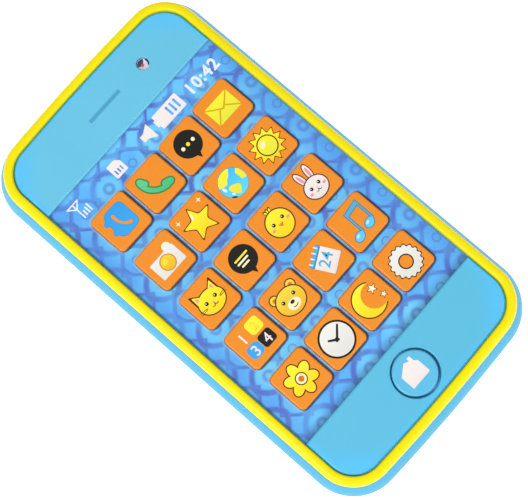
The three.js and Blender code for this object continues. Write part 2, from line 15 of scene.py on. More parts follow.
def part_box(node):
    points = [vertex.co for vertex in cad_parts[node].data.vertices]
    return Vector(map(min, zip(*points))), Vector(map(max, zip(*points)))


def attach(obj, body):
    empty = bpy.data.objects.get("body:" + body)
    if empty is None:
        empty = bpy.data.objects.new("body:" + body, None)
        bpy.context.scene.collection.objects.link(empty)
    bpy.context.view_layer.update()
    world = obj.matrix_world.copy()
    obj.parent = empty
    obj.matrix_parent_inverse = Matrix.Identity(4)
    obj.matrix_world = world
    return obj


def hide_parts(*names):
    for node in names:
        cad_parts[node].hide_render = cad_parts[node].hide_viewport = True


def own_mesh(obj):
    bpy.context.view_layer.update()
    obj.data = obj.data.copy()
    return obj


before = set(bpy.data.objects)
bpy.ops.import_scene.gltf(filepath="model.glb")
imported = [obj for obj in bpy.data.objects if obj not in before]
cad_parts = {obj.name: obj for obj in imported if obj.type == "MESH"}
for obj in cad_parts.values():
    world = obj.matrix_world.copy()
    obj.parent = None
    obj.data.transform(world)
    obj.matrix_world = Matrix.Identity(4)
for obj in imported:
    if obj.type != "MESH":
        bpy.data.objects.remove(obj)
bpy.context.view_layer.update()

MM = 0.001

# ---------------------------------------------------------------- driving dimensions, mm

CASE_CORNER = 12.4  # corner radius of the casing where it is widest
CASE_END_RADIUS = 542.0  # the radius of its gently crowned ends
END_BULGE = 0.3  # its ends bulge this much further past the ring than its sides
RING_INSET = 2.0  # from the casing's widest outline to the ring's outer edge
RING_WIDTH = 2.6
FASCIA_INSET = 4.95  # all insets are from the casing's widest outline
CAVITY_INSET = 3.8
CAVITY_FLOOR_INSET = 5.4
BACK_FLAT_INSET = 6.0
BACK_WALL = 1.8
BULGE_HEIGHT = 7.2  # the casing is widest at this height
HALF_FACE = 29.05  # half the width of the fascia and the film
CORNER_STEPS = 16  # segments in a corner of an outline
RING_CORNER_STEPS = 24
END_STEPS = 12

KEY_HALF = 5.55
KEY_CORNER = 1.3
KEY_FILLET = 0.48
FLANGE_THICKNESS = 0.7  # the flange that keeps keys and home button in
HOLE_GAP = 0.05  # between a key and its hole
FASCIA_BOTTOM = 13.1
SCREEN_HALF_LENGTH = 41.1
SCREEN_FLOOR = 14.1
PANEL_FILLET = 0.45  # the rounded edge of the panels beside the ring
STEP_FILLET = 0.6  # the rounded edge of the panels beside the screen
HOME_HOLE_RADIUS = 5.93
HOME_HOLE_SHIFT = 0.11  # the button sits this much off the middle of its hole, each way
LAMP_HOLE_RADIUS = 1.62
LAMP_RADIUS = 1.55
EARPIECE = {"y": 49.05, "half_length": 5.3, "half_width": 0.5, "corner": 0.2, "depth": 0.9}
COVER_TAB_REACH = 1.2  # the battery cover's tabs stand out this much
COVER_TAB_X = 10.5  # and lie this far to each side
COVER_INNER_FACE = 1.7
SCREW_BORE = 1.35  # radius of the holes that the casing's screws cut their thread in
BOARD_SCREW_BORE = 1.15

FLOOR_HALF = 1500
FLOOR_DROP = 0.25  # the floor lies this much below the back
INK_STEP = 0.0025  # each ink lies this much above the one under it

# ---------------------------------------------------------------- places, from the frame


def node_box(node):
    """A CAD node's lowest and highest corner, in millimetres."""
    low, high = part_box(node)
    return low / MM, high / MM


def node_centre(node):
    low, high = node_box(node)
    return (low + high) / 2


def node_extent(node):
    """A CAD node's lowest and highest corner, its centre and half its width."""
    low, high = node_box(node)
    return low, high, (low + high) / 2, (high.x - low.x) / 2


def nodes_named(prefix):
    return [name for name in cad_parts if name.startswith(prefix)]


shell_high = node_box("rear_shell")[1]
CASE_HALF_WIDTH = shell_high.x
CASE_HALF_LENGTH = shell_high.y
RIM_Z = shell_high.z
RING_TOP = node_box("bezel_ring")[1].z
PANEL_TOP = node_box("front_fascia")[1].z
KEY_NODES = nodes_named("key_")
CASE_SCREWS = [node_centre(name) for name in nodes_named("case_screw_")]
BOARD_SCREWS = [node_centre(name) for name in nodes_named("pcb_screw_")]

# ---------------------------------------------------------------- outlines


def arc(centre, radius, start, end, steps):
    """Points on an arc, angles in degrees, both ends included."""
    points = []
    for i in range(steps + 1):
        angle = math.radians(start + (end - start) * i / steps)
        points.append((centre[0] + radius * math.cos(angle), centre[1] + radius * math.sin(angle)))
    return points


def round_box(x0, x1, y0, y1, radii, steps=8):
    """A box outline, anticlockwise, with one radius, or one for each corner from the upper right
    one on."""
    corners = radii if isinstance(radii, list) else [radii] * 4
    upper_right, upper_left, lower_left, lower_right = corners
    return (
        arc((x1 - upper_right, y1 - upper_right), upper_right, 0, 90, steps)
        + arc((x0 + upper_left, y1 - upper_left), upper_left, 90, 180, steps)
        + arc((x0 + lower_left, y0 + lower_left), lower_left, 180, 270, steps)
        + arc((x1 - lower_right, y0 + lower_right), lower_right, 270, 360, steps)
    )


def round_rectangle(half_x, half_y, radius, steps=8, centre=(0, 0)):
    x, y = centre
    return round_box(x - half_x, x + half_x, y - half_y, y + half_y, radius, steps)


def casing_outline(inset, bulge=0.0, steps=CORNER_STEPS):
    """The casing's outline inset from where it is widest, with its crowned ends moved out by
    bulge. The corner arcs run tangent into the ends."""
    corner, end = CASE_CORNER - inset, CASE_END_RADIUS - inset
    corner_x = CASE_HALF_WIDTH - CASE_CORNER
    end_y = CASE_HALF_LENGTH - END_BULGE + bulge - CASE_END_RADIUS
    rise = math.sqrt((end - corner) ** 2 - corner_x**2)
    turn = math.degrees(math.atan2(rise, corner_x))
    half = (
        arc((corner_x, end_y + rise), corner, 0, turn, steps)
        + arc((0, end_y), end, turn, 180 - turn, END_STEPS)[1:-1]
        + arc((-corner_x, end_y + rise), corner, 180 - turn, 180, steps)
    )
    return half + [(-x, -y) for x, y in half]


def circle(centre, radius, steps=40):
    return arc(centre, radius, 0, 360, steps)[:-1]


def ellipse(centre, half_x, half_y, turn=0, steps=36):
    flat = [(x * half_x, y * half_y) for x, y in circle((0, 0), 1, steps)]
    return moved(flat, centre, turn)


def moved(points, offset=(0, 0), turn=0):
    """Points turned by some degrees about the origin, then moved."""
    cos, sin = math.cos(math.radians(turn)), math.sin(math.radians(turn))
    return [(offset[0] + x * cos - y * sin, offset[1] + x * sin + y * cos) for x, y in points]


def smooth_path(points, steps=6):
    """A Catmull-Rom curve through points of any number of coordinates."""
    ends = [points[0]] + list(points) + [points[-1]]
    path = []
    for a, b, c, d in zip(ends, ends[1:], ends[2:], ends[3:]):
        for i in range(steps):
            t = i / steps
            path.append(
                tuple(
                    0.5 * (2 * q + (r - p) * t + (2 * p - 5 * q + 4 * r - s) * t * t
                           + (3 * q - p - 3 * r + s) * t**3)
                    for p, q, r, s in zip(a, b, c, d)
                )
            )
    return path + [tuple(points[-1])]


def ribbon(points, extra=0.0):
    """The outline of a stroke with round ends, through (x, y, half width) points. It is straight
    between two points and curved through more."""
    path = smooth_path(points) if len(points) > 2 else list(points)
    left, right = [], []
    for i, (x, y, half) in enumerate(path):
        x0, y0, _ = path[max(i - 1, 0)]
        x1, y1, _ = path[min(i + 1, len(path) - 1)]
        length = math.hypot(x1 - x0, y1 - y0)
        nx, ny = -(y1 - y0) / length, (x1 - x0) / length
        half += extra
        left.append((x + nx * half, y + ny * half))
        right.append((x - nx * half, y - ny * half))

    def cap(at, before):
        (x, y, half), (xb, yb, _) = at, before
        heading = math.degrees(math.atan2(y - yb, x - xb))
        return arc((x, y), half + extra, heading - 90, heading + 90, 8)[1:-1]

    return right + cap(path[-1], path[-2]) + left[::-1] + cap(path[0], path[1])


def star(centre, outer, inner, points=5):
    """A star with one of its points straight up."""
    shape = []
    for i in range(points * 2):
        angle = math.radians(90 + 180 * i / points)
        radius = inner if i % 2 else outer
        shape.append((centre[0] + radius * math.cos(angle), centre[1] + radius * math.sin(angle)))
    return shape


def softened(shape, radius, steps=4):
    """A polygon with each corner cut to a curve that starts up to radius before it."""
    result = []
    for before, at, after in zip(shape[-1:] + shape[:-1], shape, shape[1:] + shape[:1]):
        a, p, b = Vector(before), Vector(at), Vector(after)
        cut = min(radius, (a - p).length / 2.2, (b - p).length / 2.2)
        start, end = p + (a - p).normalized() * cut, p + (b - p).normalized() * cut
        for i in range(steps + 1):
            t = i / steps
            result.append(tuple(start * (1 - t) ** 2 + p * 2 * t * (1 - t) + end * t * t))
    return result


# ---------------------------------------------------------------- meshes


def new_object(name, vertices, faces, crease=35, place=(0, 0, 0)):
    """A smooth-shaded object from millimetre vertices, with edges sharp past some degrees."""
    mesh = bpy.data.meshes.new(name)
    mesh.from_pydata([Vector(v) * MM for v in vertices], [], faces)
    piece = bpy.data.objects.new(name, mesh)
    piece.location = Vector(place) * MM
    bpy.context.scene.collection.objects.link(piece)
    shade(piece, crease)
    return piece


def shade(piece, crease=35):
    """Smooth shading, with the edges that turn by more than crease degrees kept sharp."""
    for polygon in piece.data.polygons:
        polygon.use_smooth = True
    piece.data.set_sharp_from_angle(angle=math.radians(crease))


def even_normals(piece):
    """Keeps wide flat faces flat where they meet small rounded ones."""
    weighted = piece.modifiers.new("even normals", "WEIGHTED_NORMAL")
    weighted.keep_sharp = True
    return piece


def loft(levels, endless=False):
    """Vertices and faces through (outline, z) levels, capped unless the surface is endless."""
    count = len(levels[0][0])
    vertices = [(x, y, z) for outline, z in levels for x, y in outline]
    faces = []
    bands = len(levels) if endless else len(levels) - 1
    for band in range(bands):
        low, high = band * count, (band + 1) % len(levels) * count
        for i in range(count):
            j = (i + 1) % count
            faces.append((low + i, low + j, high + j, high + i))
    if not endless:
        faces.append(tuple(reversed(range(count))))
        faces.append(tuple(range((len(levels) - 1) * count, len(levels) * count)))
    return vertices, faces


def lathe(profile, sides, centre=(0, 0)):
    """Turns (radius, z) points, anticlockwise, about an upright axis. A profile that starts on
    the axis, at radius 0, ends on it too, and another one is closed into a ring."""
    vertices, rows = [], []
    for radius, z in profile:
        if radius == 0:
            rows.append([len(vertices)] * sides)
            vertices.append((centre[0], centre[1], z))
            continue
        rows.append(list(range(len(vertices), len(vertices) + sides)))
        vertices += [(x, y, z) for x, y in circle(centre, radius, sides)]
    closed = profile[0][0] != 0
    pairs = list(zip(rows, rows[1:])) + ([(rows[-1], rows[0])] if closed else [])
    faces = []
    for low, high in pairs:
        for i in range(sides):
            j = (i + 1) % sides
            face = []
            for corner in (low[i], low[j], high[j], high[i]):
                if corner not in face:
                    face.append(corner)
            if len(face) > 2:
                faces.append(tuple(face))
    return vertices, faces


def quarter_round(radius, steps=5):
    """(inset, drop) pairs of a rounded edge, from the side of a solid to its top."""
    pairs = []
    for i in range(steps + 1):
        angle = math.pi / 2 * i / steps
        pairs.append((radius * (1 - math.cos(angle)), radius * (1 - math.sin(angle))))
    return pairs


def merged(*shapes):
    """Several (vertices, faces) as one."""
    vertices, faces = [], []
    for more_vertices, more_faces in shapes:
        start = len(vertices)
        vertices += list(more_vertices)
        faces += [tuple(start + i for i in face) for face in more_faces]
    return vertices, faces


def prism(outline, z0, z1):
    """An outline drawn out from z0 to z1."""
    return loft([(outline, z0), (outline, z1)])


def block(low, high):
    (x0, y0, z0), (x1, y1, z1) = low, high
    return prism([(x0, y0), (x1, y0), (x1, y1), (x0, y1)], z0, z1)


def rod(x, y, z0, z1, radius, sides=32):
    return prism(circle((x, y), radius, sides), z0, z1)


def rods(spots, z0, z1, radius, sides=32):
    """Equal rods, as one shape."""
    return merged(*[rod(spot.x, spot.y, z0, z1, radius, sides) for spot in spots])


def rounded_below(outline_at, z0, z1, fillet):
    """A solid from z0 to z1 with a rounded lower edge. outline_at(inset) gives its outline."""
    levels = [(outline_at(inset), z0 + drop) for inset, drop in reversed(quarter_round(fillet))]
    return loft(levels + [(outline_at(0), z1)])


def edge_cutter(outline_at, face_z, end_z, flare):
    """A cutter for a hole from a face at face_z to end_z, that also rounds the hole's edge to a
    radius of flare. outline_at(grow) gives the hole's outline, grown by some millimetres."""
    past = 1.0  # how far the cutter stands out of the face
    outwards = 1 if face_z > end_z else -1
    levels = [(outline_at(0), end_z)]
    for inset, drop in quarter_round(flare):
        levels.append((outline_at(inset), face_z - outwards * drop))
    levels.append((outline_at(flare), face_z + outwards * past))
    return loft(levels if outwards > 0 else levels[::-1])


def hole_cutter(spot, radius, face_z, end_z, flare, sides):
    """A cutter for a round hole with a rounded edge at face_z."""
    return edge_cutter(lambda grow: circle((spot[0], spot[1]), radius + grow, sides),
                       face_z, end_z, flare)


def combine(piece, operation, *shapes):
    """Joins (UNION) or cuts (DIFFERENCE) shapes with a piece, one boolean for each shape."""
    tools = []
    for shape in shapes:
        tool = new_object("tool", *shape)
        tools.append(tool)
        boolean = piece.modifiers.new("boolean", "BOOLEAN")
        boolean.operation = operation
        boolean.solver = "EXACT"
        boolean.object = tool
    graph = bpy.context.evaluated_depsgraph_get()
    mesh = bpy.data.meshes.new_from_object(piece.evaluated_get(graph))
    piece.modifiers.clear()
    piece.data = mesh
    for tool in tools:
        bpy.data.objects.remove(tool)
    shade(piece)
    return piece


def finish_piece(piece, body, look, slot, *replaced):
    """Gives a piece its look out of MATERIALS and its body, and hides the CAD nodes it stands for.
    slot, its record slot, is not used."""
    piece.data.materials.clear()
    piece.data.materials.append(MATERIALS[look])
    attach(piece, body)
    if replaced:
        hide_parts(*replaced)
    return piece


# ---------------------------------------------------------------- materials


class Graph:
    """A material's node tree, with short calls for the nodes that the materials here share."""

    def __init__(self, name):
        self.material = bpy.data.materials.new(name)
        self.material.use_nodes = True
        self.tree = self.material.node_tree
        self.shader = self.tree.nodes["Principled BSDF"]
        self.place = self.tree.nodes.new("ShaderNodeTexCoord").outputs["Object"]

    def link(self, value, socket):
        if isinstance(value, bpy.types.NodeSocket):
            self.tree.links.new(value, socket)
        elif value is not None:
            socket.default_value = value

    def math(self, operation, a, b=None, c=None, clamp=False):
        node = self.tree.nodes.new("ShaderNodeMath")
        node.operation = operation
        node.use_clamp = clamp
        for value, socket in zip((a, b, c), node.inputs):
            self.link(value, socket)
        return node.outputs[0]

    def ramp(self, value, low, high):
        """0 below low, 1 above high, and smooth between them."""
        node = self.tree.nodes.new("ShaderNodeMapRange")
        node.interpolation_type = "SMOOTHSTEP"
        self.link(value, node.inputs["Value"])
        node.inputs["From Min"].default_value = low
        node.inputs["From Max"].default_value = high
        return node.outputs["Result"]

    def spread(self, value, low, high):
        """0..1 spread linearly over low..high."""
        return self.math("MULTIPLY_ADD", value, high - low, low)

    def plus(self, a, b, clamp=False):
        return self.math("ADD", a, b, clamp=clamp)

    def minus(self, a, b):
        return self.math("SUBTRACT", a, b)

    def times(self, a, b):
        return self.math("MULTIPLY", a, b)

    def size(self, value):
        return self.math("ABSOLUTE", value)

    def off(self, value):
        """A mask the other way round."""
        return self.math("SUBTRACT", 1.0, value)

    def largest(self, *masks):
        whole = masks[0]
        for mask in masks[1:]:
            whole = self.math("MAXIMUM", whole, mask)
        return whole

    def noise(self, size, detail=2.0, stretch=(1, 1, 1)):
        """Noise with features of about size millimetres, stretched along the axes."""
        scaled = self.tree.nodes.new("ShaderNodeVectorMath")
        scaled.operation = "MULTIPLY"
        self.link(self.place, scaled.inputs[0])
        scaled.inputs[1].default_value = [1 / (size * MM * s) for s in stretch]
        node = self.tree.nodes.new("ShaderNodeTexNoise")
        node.inputs["Scale"].default_value = 1
        node.inputs["Detail"].default_value = detail
        self.link(scaled.outputs[0], node.inputs["Vector"])
        return node.outputs["Fac"]

    def mix(self, factor, a, b):
        """Colour a where factor is 0, b where it is 1."""
        node = self.tree.nodes.new("ShaderNodeMix")
        node.data_type = "RGBA"
        self.link(factor, node.inputs["Factor"])
        for value, socket in ((a, node.inputs["A"]), (b, node.inputs["B"])):
            self.link(value if isinstance(value, bpy.types.NodeSocket) else (*value, 1), socket)
        return node.outputs["Result"]

    def millimetres(self):
        """The object coordinates X, Y and Z, in millimetres."""
        node = self.tree.nodes.new("ShaderNodeSeparateXYZ")
        self.link(self.place, node.inputs[0])
        return [self.times(output, 1 / MM) for output in node.outputs]

    def bump(self, height, depth):
        """Bumps of up to depth millimetres."""
        node = self.tree.nodes.new("ShaderNodeBump")
        node.inputs["Distance"].default_value = depth * MM
        self.link(height, node.inputs["Height"])
        self.link(node.outputs["Normal"], self.shader.inputs["Normal"])

    def set(self, **values):
        """Sets shader sockets by name, with underscores for spaces, and gives the material."""
        for name, value in values.items():
            self.link(value, self.shader.inputs[name.replace("_", " ")])
        return self.material


def shade_of(colour, factor):
    """A colour made lighter or darker."""
    return tuple(min(channel * factor, 1) for channel in colour)


def linear(red, green, blue):
    """A colour in linear light, from the usual 0 to 255."""
    return tuple(
        (c / 255 / 12.92) if c <= 10 else ((c / 255 + 0.055) / 1.055) ** 2.4
        for c in (red, green, blue)
    )


def face_painted_shade(graph, tint, lower, rim):
    """Painted shade on the fascia: its tint turns to a darker lower colour towards the home button,
    and to a deeper blue rim colour near its edge by the ring, where less of the white studio is
    reflected."""
    rim_width = 2.2
    corner_start, corner_end = 70, 84  # of |x| + |y|
    lower_end, upper_end = -55, 45
    x, y, _ = graph.millimetres()
    tint = graph.mix(graph.ramp(y, lower_end, upper_end), lower, tint)
    x, y = graph.size(x), graph.size(y)
    side_edge, end_edge = CASE_HALF_WIDTH - FASCIA_INSET, CASE_HALF_LENGTH - FASCIA_INSET
    side = graph.ramp(x, side_edge - rim_width, side_edge)
    end = graph.ramp(y, end_edge - rim_width, end_edge)
    corner = graph.ramp(graph.plus(x, y), corner_start, corner_end)
    return graph.mix(graph.largest(side, end, corner), tint, rim)


def moulded_plastic(name, colour, roughness=0.34, coat=0.2, grain=0.0016, specular=0.4, face=None):
    """Injection-moulded plastic: flow-mark tints, handling haze, hairline rubs, a fine grain.
    face gives the lower and rim colours of the fascia's painted shade."""
    graph = Graph(name)
    flow = graph.noise(22, 3, (1, 2.5, 1))
    speck = graph.noise(0.9, 1)
    tint = graph.mix(flow, shade_of(colour, 0.95), shade_of(colour, 1.04))
    tint = graph.mix(graph.times(speck, 0.06), tint, shade_of(colour, 0.8))
    if face:
        tint = face_painted_shade(graph, tint, *face)
    haze = graph.spread(graph.noise(9, 3), -0.05, 0.06)
    rubs = graph.ramp(graph.noise(0.5, 2, (1, 26, 1)), 0.64, 0.72)
    worn = graph.plus(haze, graph.times(rubs, 0.07))
    graph.bump(graph.noise(0.35, 2), grain)
    return graph.set(
        Base_Color=tint,
        Roughness=graph.plus(worn, roughness, clamp=True),
        Specular_IOR_Level=specular,
        Coat_Weight=coat,
        Coat_Roughness=0.2,
        Subsurface_Weight=0.06,
        Subsurface_Radius=(0.004, 0.003, 0.002),
        Subsurface_Scale=0.2,
    )


def ink(name, low, high=None):
    """Pad-printed ink, whose colour runs from low to high up a key's picture, with a faint
    mottle."""
    picture_half, roughness = 4.0, 0.4
    graph = Graph(name)
    up = graph.millimetres()[1]
    run = graph.ramp(up, -picture_half, picture_half)
    colour = graph.mix(run, low, high or shade_of(low, 1.05))
    mottle = graph.tree.nodes.new("ShaderNodeVectorMath")
    mottle.operation = "SCALE"
    graph.link(colour, mottle.inputs[0])
    graph.link(graph.spread(graph.noise(0.5, 2), 0.95, 1.04), mottle.inputs["Scale"])
    graph.bump(graph.noise(0.3, 2), 0.0012)
    wear = graph.spread(graph.noise(2.2, 3), -0.05, 0.08)
    return graph.set(
        Base_Color=mottle.outputs[0],
        Roughness=graph.plus(wear, roughness, clamp=True),
        Specular_IOR_Level=0.25,
    )


def worn_metal(name, colour, roughness, brushed=(1, 18, 1)):
    """Pressed or plated metal: fine drawing lines, stretched by brushed, and tarnish clouds."""
    graph = Graph(name)
    lines = graph.noise(0.16, 3, brushed)
    tarnish = graph.noise(2.5, 4)
    tint = graph.mix(graph.ramp(tarnish, 0.35, 0.75), colour, shade_of(colour, 0.72))
    graph.bump(lines, 0.004)
    return graph.set(
        Base_Color=tint,
        Metallic=1.0,
        Roughness=graph.plus(
            graph.spread(lines, -0.08, 0.1), graph.spread(tarnish, roughness, roughness + 0.12)
        ),
    )


def soft_rubber(name, colour):
    """Moulded silicone with a dusty, matt skin."""
    graph = Graph(name)
    dust = graph.ramp(graph.noise(1.6, 4), 0.4, 0.8)
    graph.bump(graph.noise(0.3, 2), 0.01)
    return graph.set(
        Base_Color=graph.mix(dust, colour, shade_of(colour, 1.25)),
        Roughness=graph.spread(dust, 0.62, 0.8),
        Subsurface_Weight=0.1,
        Subsurface_Scale=0.5,
    )


def circuit_board():
    """Green solder mask over copper tracks, with rows of small bare pads."""
    track_half_pitch, pad_pitch = 0.75, 2.54
    graph = Graph("circuit_board")
    x, y, _ = graph.millimetres()
    bend = graph.times(graph.math("SINE", graph.times(x, 0.35)), 1.8)
    stripe = graph.math("PINGPONG", graph.plus(y, bend), track_half_pitch)
    tracks = graph.ramp(stripe, 0.28, 0.36)
    across = graph.math("WRAP", x, -pad_pitch / 2, pad_pitch / 2)
    along = graph.math("WRAP", y, -pad_pitch, pad_pitch)
    squared = graph.plus(graph.times(across, across), graph.times(along, along))
    pads = graph.off(graph.ramp(graph.math("SQRT", squared), 0.34, 0.42))
    mask = graph.mix(tracks, (0.012, 0.13, 0.045), (0.03, 0.24, 0.075))
    colour = graph.mix(pads, mask, (0.62, 0.6, 0.55))
    graph.bump(tracks, 0.03)
    return graph.set(
        Base_Color=colour,
        Roughness=graph.spread(graph.noise(3), 0.25, 0.4),
        Metallic=graph.times(pads, 0.9),
    )


def speaker_paper():
    """Black pressed paper with its fibres."""
    graph = Graph("speaker_paper")
    fibre = graph.noise(0.35, 4, (1, 3, 1))
    graph.bump(fibre, 0.03)
    return graph.set(
        Base_Color=graph.mix(fibre, (0.01, 0.01, 0.011), (0.045, 0.044, 0.046)),
        Roughness=graph.spread(fibre, 0.7, 0.95),
    )


def lens_plastic():
    """The clear resin of the lamp."""
    graph = Graph("lens_plastic")
    graph.bump(graph.noise(0.6), 0.001)
    return graph.set(
        Base_Color=graph.mix(graph.noise(0.8), (0.95, 0.9, 0.9), (0.85, 0.78, 0.78)),
        Alpha=0.04,
        Roughness=graph.spread(graph.noise(0.7), 0.04, 0.1),
        Coat_Weight=1.0,
    )


def painted_key_band(graph, x, y, shift, soft, strength):
    """A painted band round every key, used for the keys' painted shadows and for the painted light
    beside them: a rounded square, shifted so that it shows on two sides. It fades out between the
    two distances in soft, from the key's edge on."""
    squareness = 7  # the power of its superellipse
    places = [node_centre(node) for node in KEY_NODES]
    reaches = []
    for axis, value in enumerate((x, y)):
        spots = [place[axis] for place in places]
        count = len({round(spot, 3) for spot in spots})
        half_span = (max(spots) - min(spots)) / 2
        half_pitch = half_span / (count - 1)
        past_first = graph.minus(value, min(spots) + shift[axis])
        nearest = graph.math("WRAP", past_first, -half_pitch, half_pitch)
        outside = graph.minus(graph.size(graph.minus(past_first, half_span)), half_span)
        reach = graph.math("MAXIMUM", graph.size(nearest), outside)
        reaches.append(graph.math("POWER", reach, squareness))
    reach = graph.math("POWER", graph.plus(*reaches), 1 / squareness)
    faded = graph.ramp(reach, KEY_HALF + soft[0], KEY_HALF + soft[1])
    return graph.times(graph.off(faded), strength)


def trellis(graph, x, y):
    """Masks of the trellis: its thick bands, the blobs in its diamonds, its thin bands, and the
    insides of its diamonds."""
    pitch_x, pitch_y = 16.96, 16.77
    diamond = (2.53, 34.55)
    staggered = (diamond[0] + pitch_x / 2, diamond[1] - pitch_y / 2)
    onions = ((staggered[0], diamond[1]), (diamond[0], staggered[1]))

    def offsets(centre):
        """The way to the nearest of the points that repeat from centre on."""
        return [
            graph.math("WRAP", graph.minus(value, start), -pitch / 2, pitch / 2)
            for value, start, pitch in ((x, centre[0], pitch_x), (y, centre[1], pitch_y))
        ]

    def reach(across, along, power):
        """The distance, on round (2), rounder-diamond (1.6) or diamond (1) rings."""
        powers = [graph.math("POWER", graph.size(value), power) for value in (across, along)]
        return graph.math("POWER", graph.plus(*powers), 1 / power)

    def band(distance, radius, half_width, soft):
        """1 on a ring of a radius, 0 off it."""
        away = graph.size(graph.minus(distance, radius))
        return graph.off(graph.ramp(away, half_width - soft, half_width + soft))

    thick, blobs, thin, insides = [], [], [], []
    for centre in (diamond, staggered):
        across, along = offsets(centre)
        wide = reach(graph.times(across, 0.95), graph.times(along, 1.03), 1.6)
        thick.append(band(wide, 4.3, 0.72, 0.42))
        blobs.append(band(reach(across, along, 2.0), 1.1, 0.45, 0.4))
        insides.append(graph.off(graph.ramp(wide, 2.0, 4.6)))
    for centre in onions:
        across, along = offsets(centre)
        circle_reach = reach(across, along, 2.0)
        peak_reach = graph.times(reach(across, along, 1.1), 0.81)
        shape = graph.tree.nodes.new("ShaderNodeMix")
        graph.link(graph.ramp(along, -0.5, 1.8), shape.inputs["Factor"])
        graph.link(circle_reach, shape.inputs["A"])
        graph.link(peak_reach, shape.inputs["B"])
        thin.append(band(shape.outputs["Result"], 3.45, 0.3, 0.16))
        thin.append(band(circle_reach, 1.0, 0.2, 0.14))
        thick.append(band(reach(across, along, 1.0), 5.2, 0.42, 0.36))
    return [graph.largest(*masks) for masks in (thick, blobs, thin, insides)]


def printed_screen():
    """The screen film: a sky blue ground under a violet blue trellis of rounded diamonds and
    onion shapes, each with a small ring in the middle. The ground turns a darker blue towards both
    sides. A painted shadow lies on the keys' right and lower sides, under the panels' steps at
    both ends and along the ring on the left, and painted light lies on the keys' other two sides."""
    graph = Graph("printed_screen")
    x, y, _ = graph.millimetres()
    thick, blobs, thin, insides = trellis(graph, x, y)
    clouds = graph.noise(11, 3)
    ground = graph.mix(graph.ramp(clouds, 0.35, 0.68), linear(84, 171, 243), linear(104, 199, 251))
    light = graph.times(insides, graph.spread(graph.noise(16, 2), 0.2, 1.0))
    ground = graph.mix(graph.times(light, 0.8), ground, linear(114, 212, 254))
    sides = graph.ramp(graph.size(x), 22.0, 29.0)
    ground = graph.mix(graph.times(sides, 0.65), ground, linear(70, 144, 226))
    fade = graph.spread(graph.ramp(graph.noise(9, 2), 0.35, 0.65), 0.45, 1.0)
    colour, violet = ground, linear(76, 107, 196)
    for strength in (graph.times(thick, fade), graph.times(blobs, 0.6), graph.times(thin, 0.55)):
        colour = graph.mix(strength, colour, violet)
    from_left = graph.ramp(x, -HALF_FACE, 0.8 - HALF_FACE)
    from_low_end = graph.ramp(y, -SCREEN_HALF_LENGTH, 2.8 - SCREEN_HALF_LENGTH)
    to_high_end = graph.ramp(y, SCREEN_HALF_LENGTH - 1.1, SCREEN_HALF_LENGTH)
    # painted shadow: the keys' cast shadows on their right and lower sides, the shade under the
    # panels' steps at both ends, and the ring's shadow along the left side
    painted_shadow = graph.largest(
        painted_key_band(graph, x, y, (0.3, -0.24), (0.12, 0.5), 0.9),
        graph.times(graph.off(from_low_end), 0.5),
        graph.times(to_high_end, 0.3),
        graph.times(graph.off(from_left), 0.4),
    )
    # painted light on the film beside each key's left and upper sides, lifting the shade of the gap
    # there
    painted_light = painted_key_band(graph, x, y, (-0.14, 0.26), (0.1, 0.7), 0.5)
    colour = graph.mix(painted_light, colour, linear(166, 204, 230))
    colour = graph.mix(painted_shadow, colour, linear(30, 44, 78))
    graph.bump(graph.noise(0.4, 2), 0.0012)
    return graph.set(
        Base_Color=colour,
        Roughness=graph.spread(graph.noise(6, 3), 0.36, 0.46),
        Coat_Weight=0.15,
        Coat_Roughness=0.2,
    )


MATERIALS = {
    "casing": moulded_plastic("casing_plastic", linear(56, 165, 206), 0.42, 0.0, specular=0.25),
    # panel: face holds the fascia's painted shade, darker towards the home button and deeper blue
    # near the ring
    "panel": moulded_plastic("panel_plastic", linear(102, 192, 224), coat=0.1,
                             face=(linear(89, 185, 219), linear(80, 191, 250))),
    "ring": moulded_plastic("ring_plastic", linear(240, 224, 4), 0.32, 0.0, specular=0.2),
    "key": moulded_plastic("key_plastic", linear(237, 141, 34), 0.36, 0.1, specular=0.3),
    "home": moulded_plastic("home_plastic", linear(93, 187, 226), coat=0.1),
    # the earpiece insert's darker blue is painted shade of its slot
    "earpiece": moulded_plastic("earpiece_shade_plastic", linear(77, 163, 204), 0.5, 0.0),
    "black_plastic": moulded_plastic("black_plastic", (0.014, 0.014, 0.016), 0.5, 0.0, 0.02),
    "red_wire": moulded_plastic("red_insulation", (0.5, 0.02, 0.015), 0.45, 0.0),
    "black_wire": moulded_plastic("black_insulation", (0.014, 0.014, 0.016), 0.45, 0.0),
    "epoxy": moulded_plastic("potting_epoxy", (0.008, 0.008, 0.01), 0.18, 0.6, 0.02),
    "silicone": soft_rubber("silicone", (0.5, 0.52, 0.55)),
    "board": circuit_board(),
    "screen": printed_screen(),
    "lens": lens_plastic(),
    # the lamp cup's pale colour is a painted highlight of the lens, and the lead frame's dark navy
    # a painted dark reflection in it
    "cup": moulded_plastic("lamp_cup_painted_highlight", linear(240, 222, 230), 0.3, 0.4),
    "die": moulded_plastic("lamp_die_resin", linear(160, 74, 62), 0.25, 0.4),
    "lead": moulded_plastic("lamp_lead_painted_reflection", linear(14, 30, 72), 0.5, 0.0),
    "paper": speaker_paper(),
    "zinc": worn_metal("zinc_steel", (0.66, 0.64, 0.58), 0.32),
    "can": worn_metal("cell_can", (0.72, 0.72, 0.73), 0.2, (3, 3, 3)),
    "screw": worn_metal("screw_steel", (0.62, 0.63, 0.65), 0.28, (2, 2, 6)),
    "magnet": worn_metal("magnet_plating", (0.3, 0.3, 0.31), 0.4, (4, 4, 4)),
}

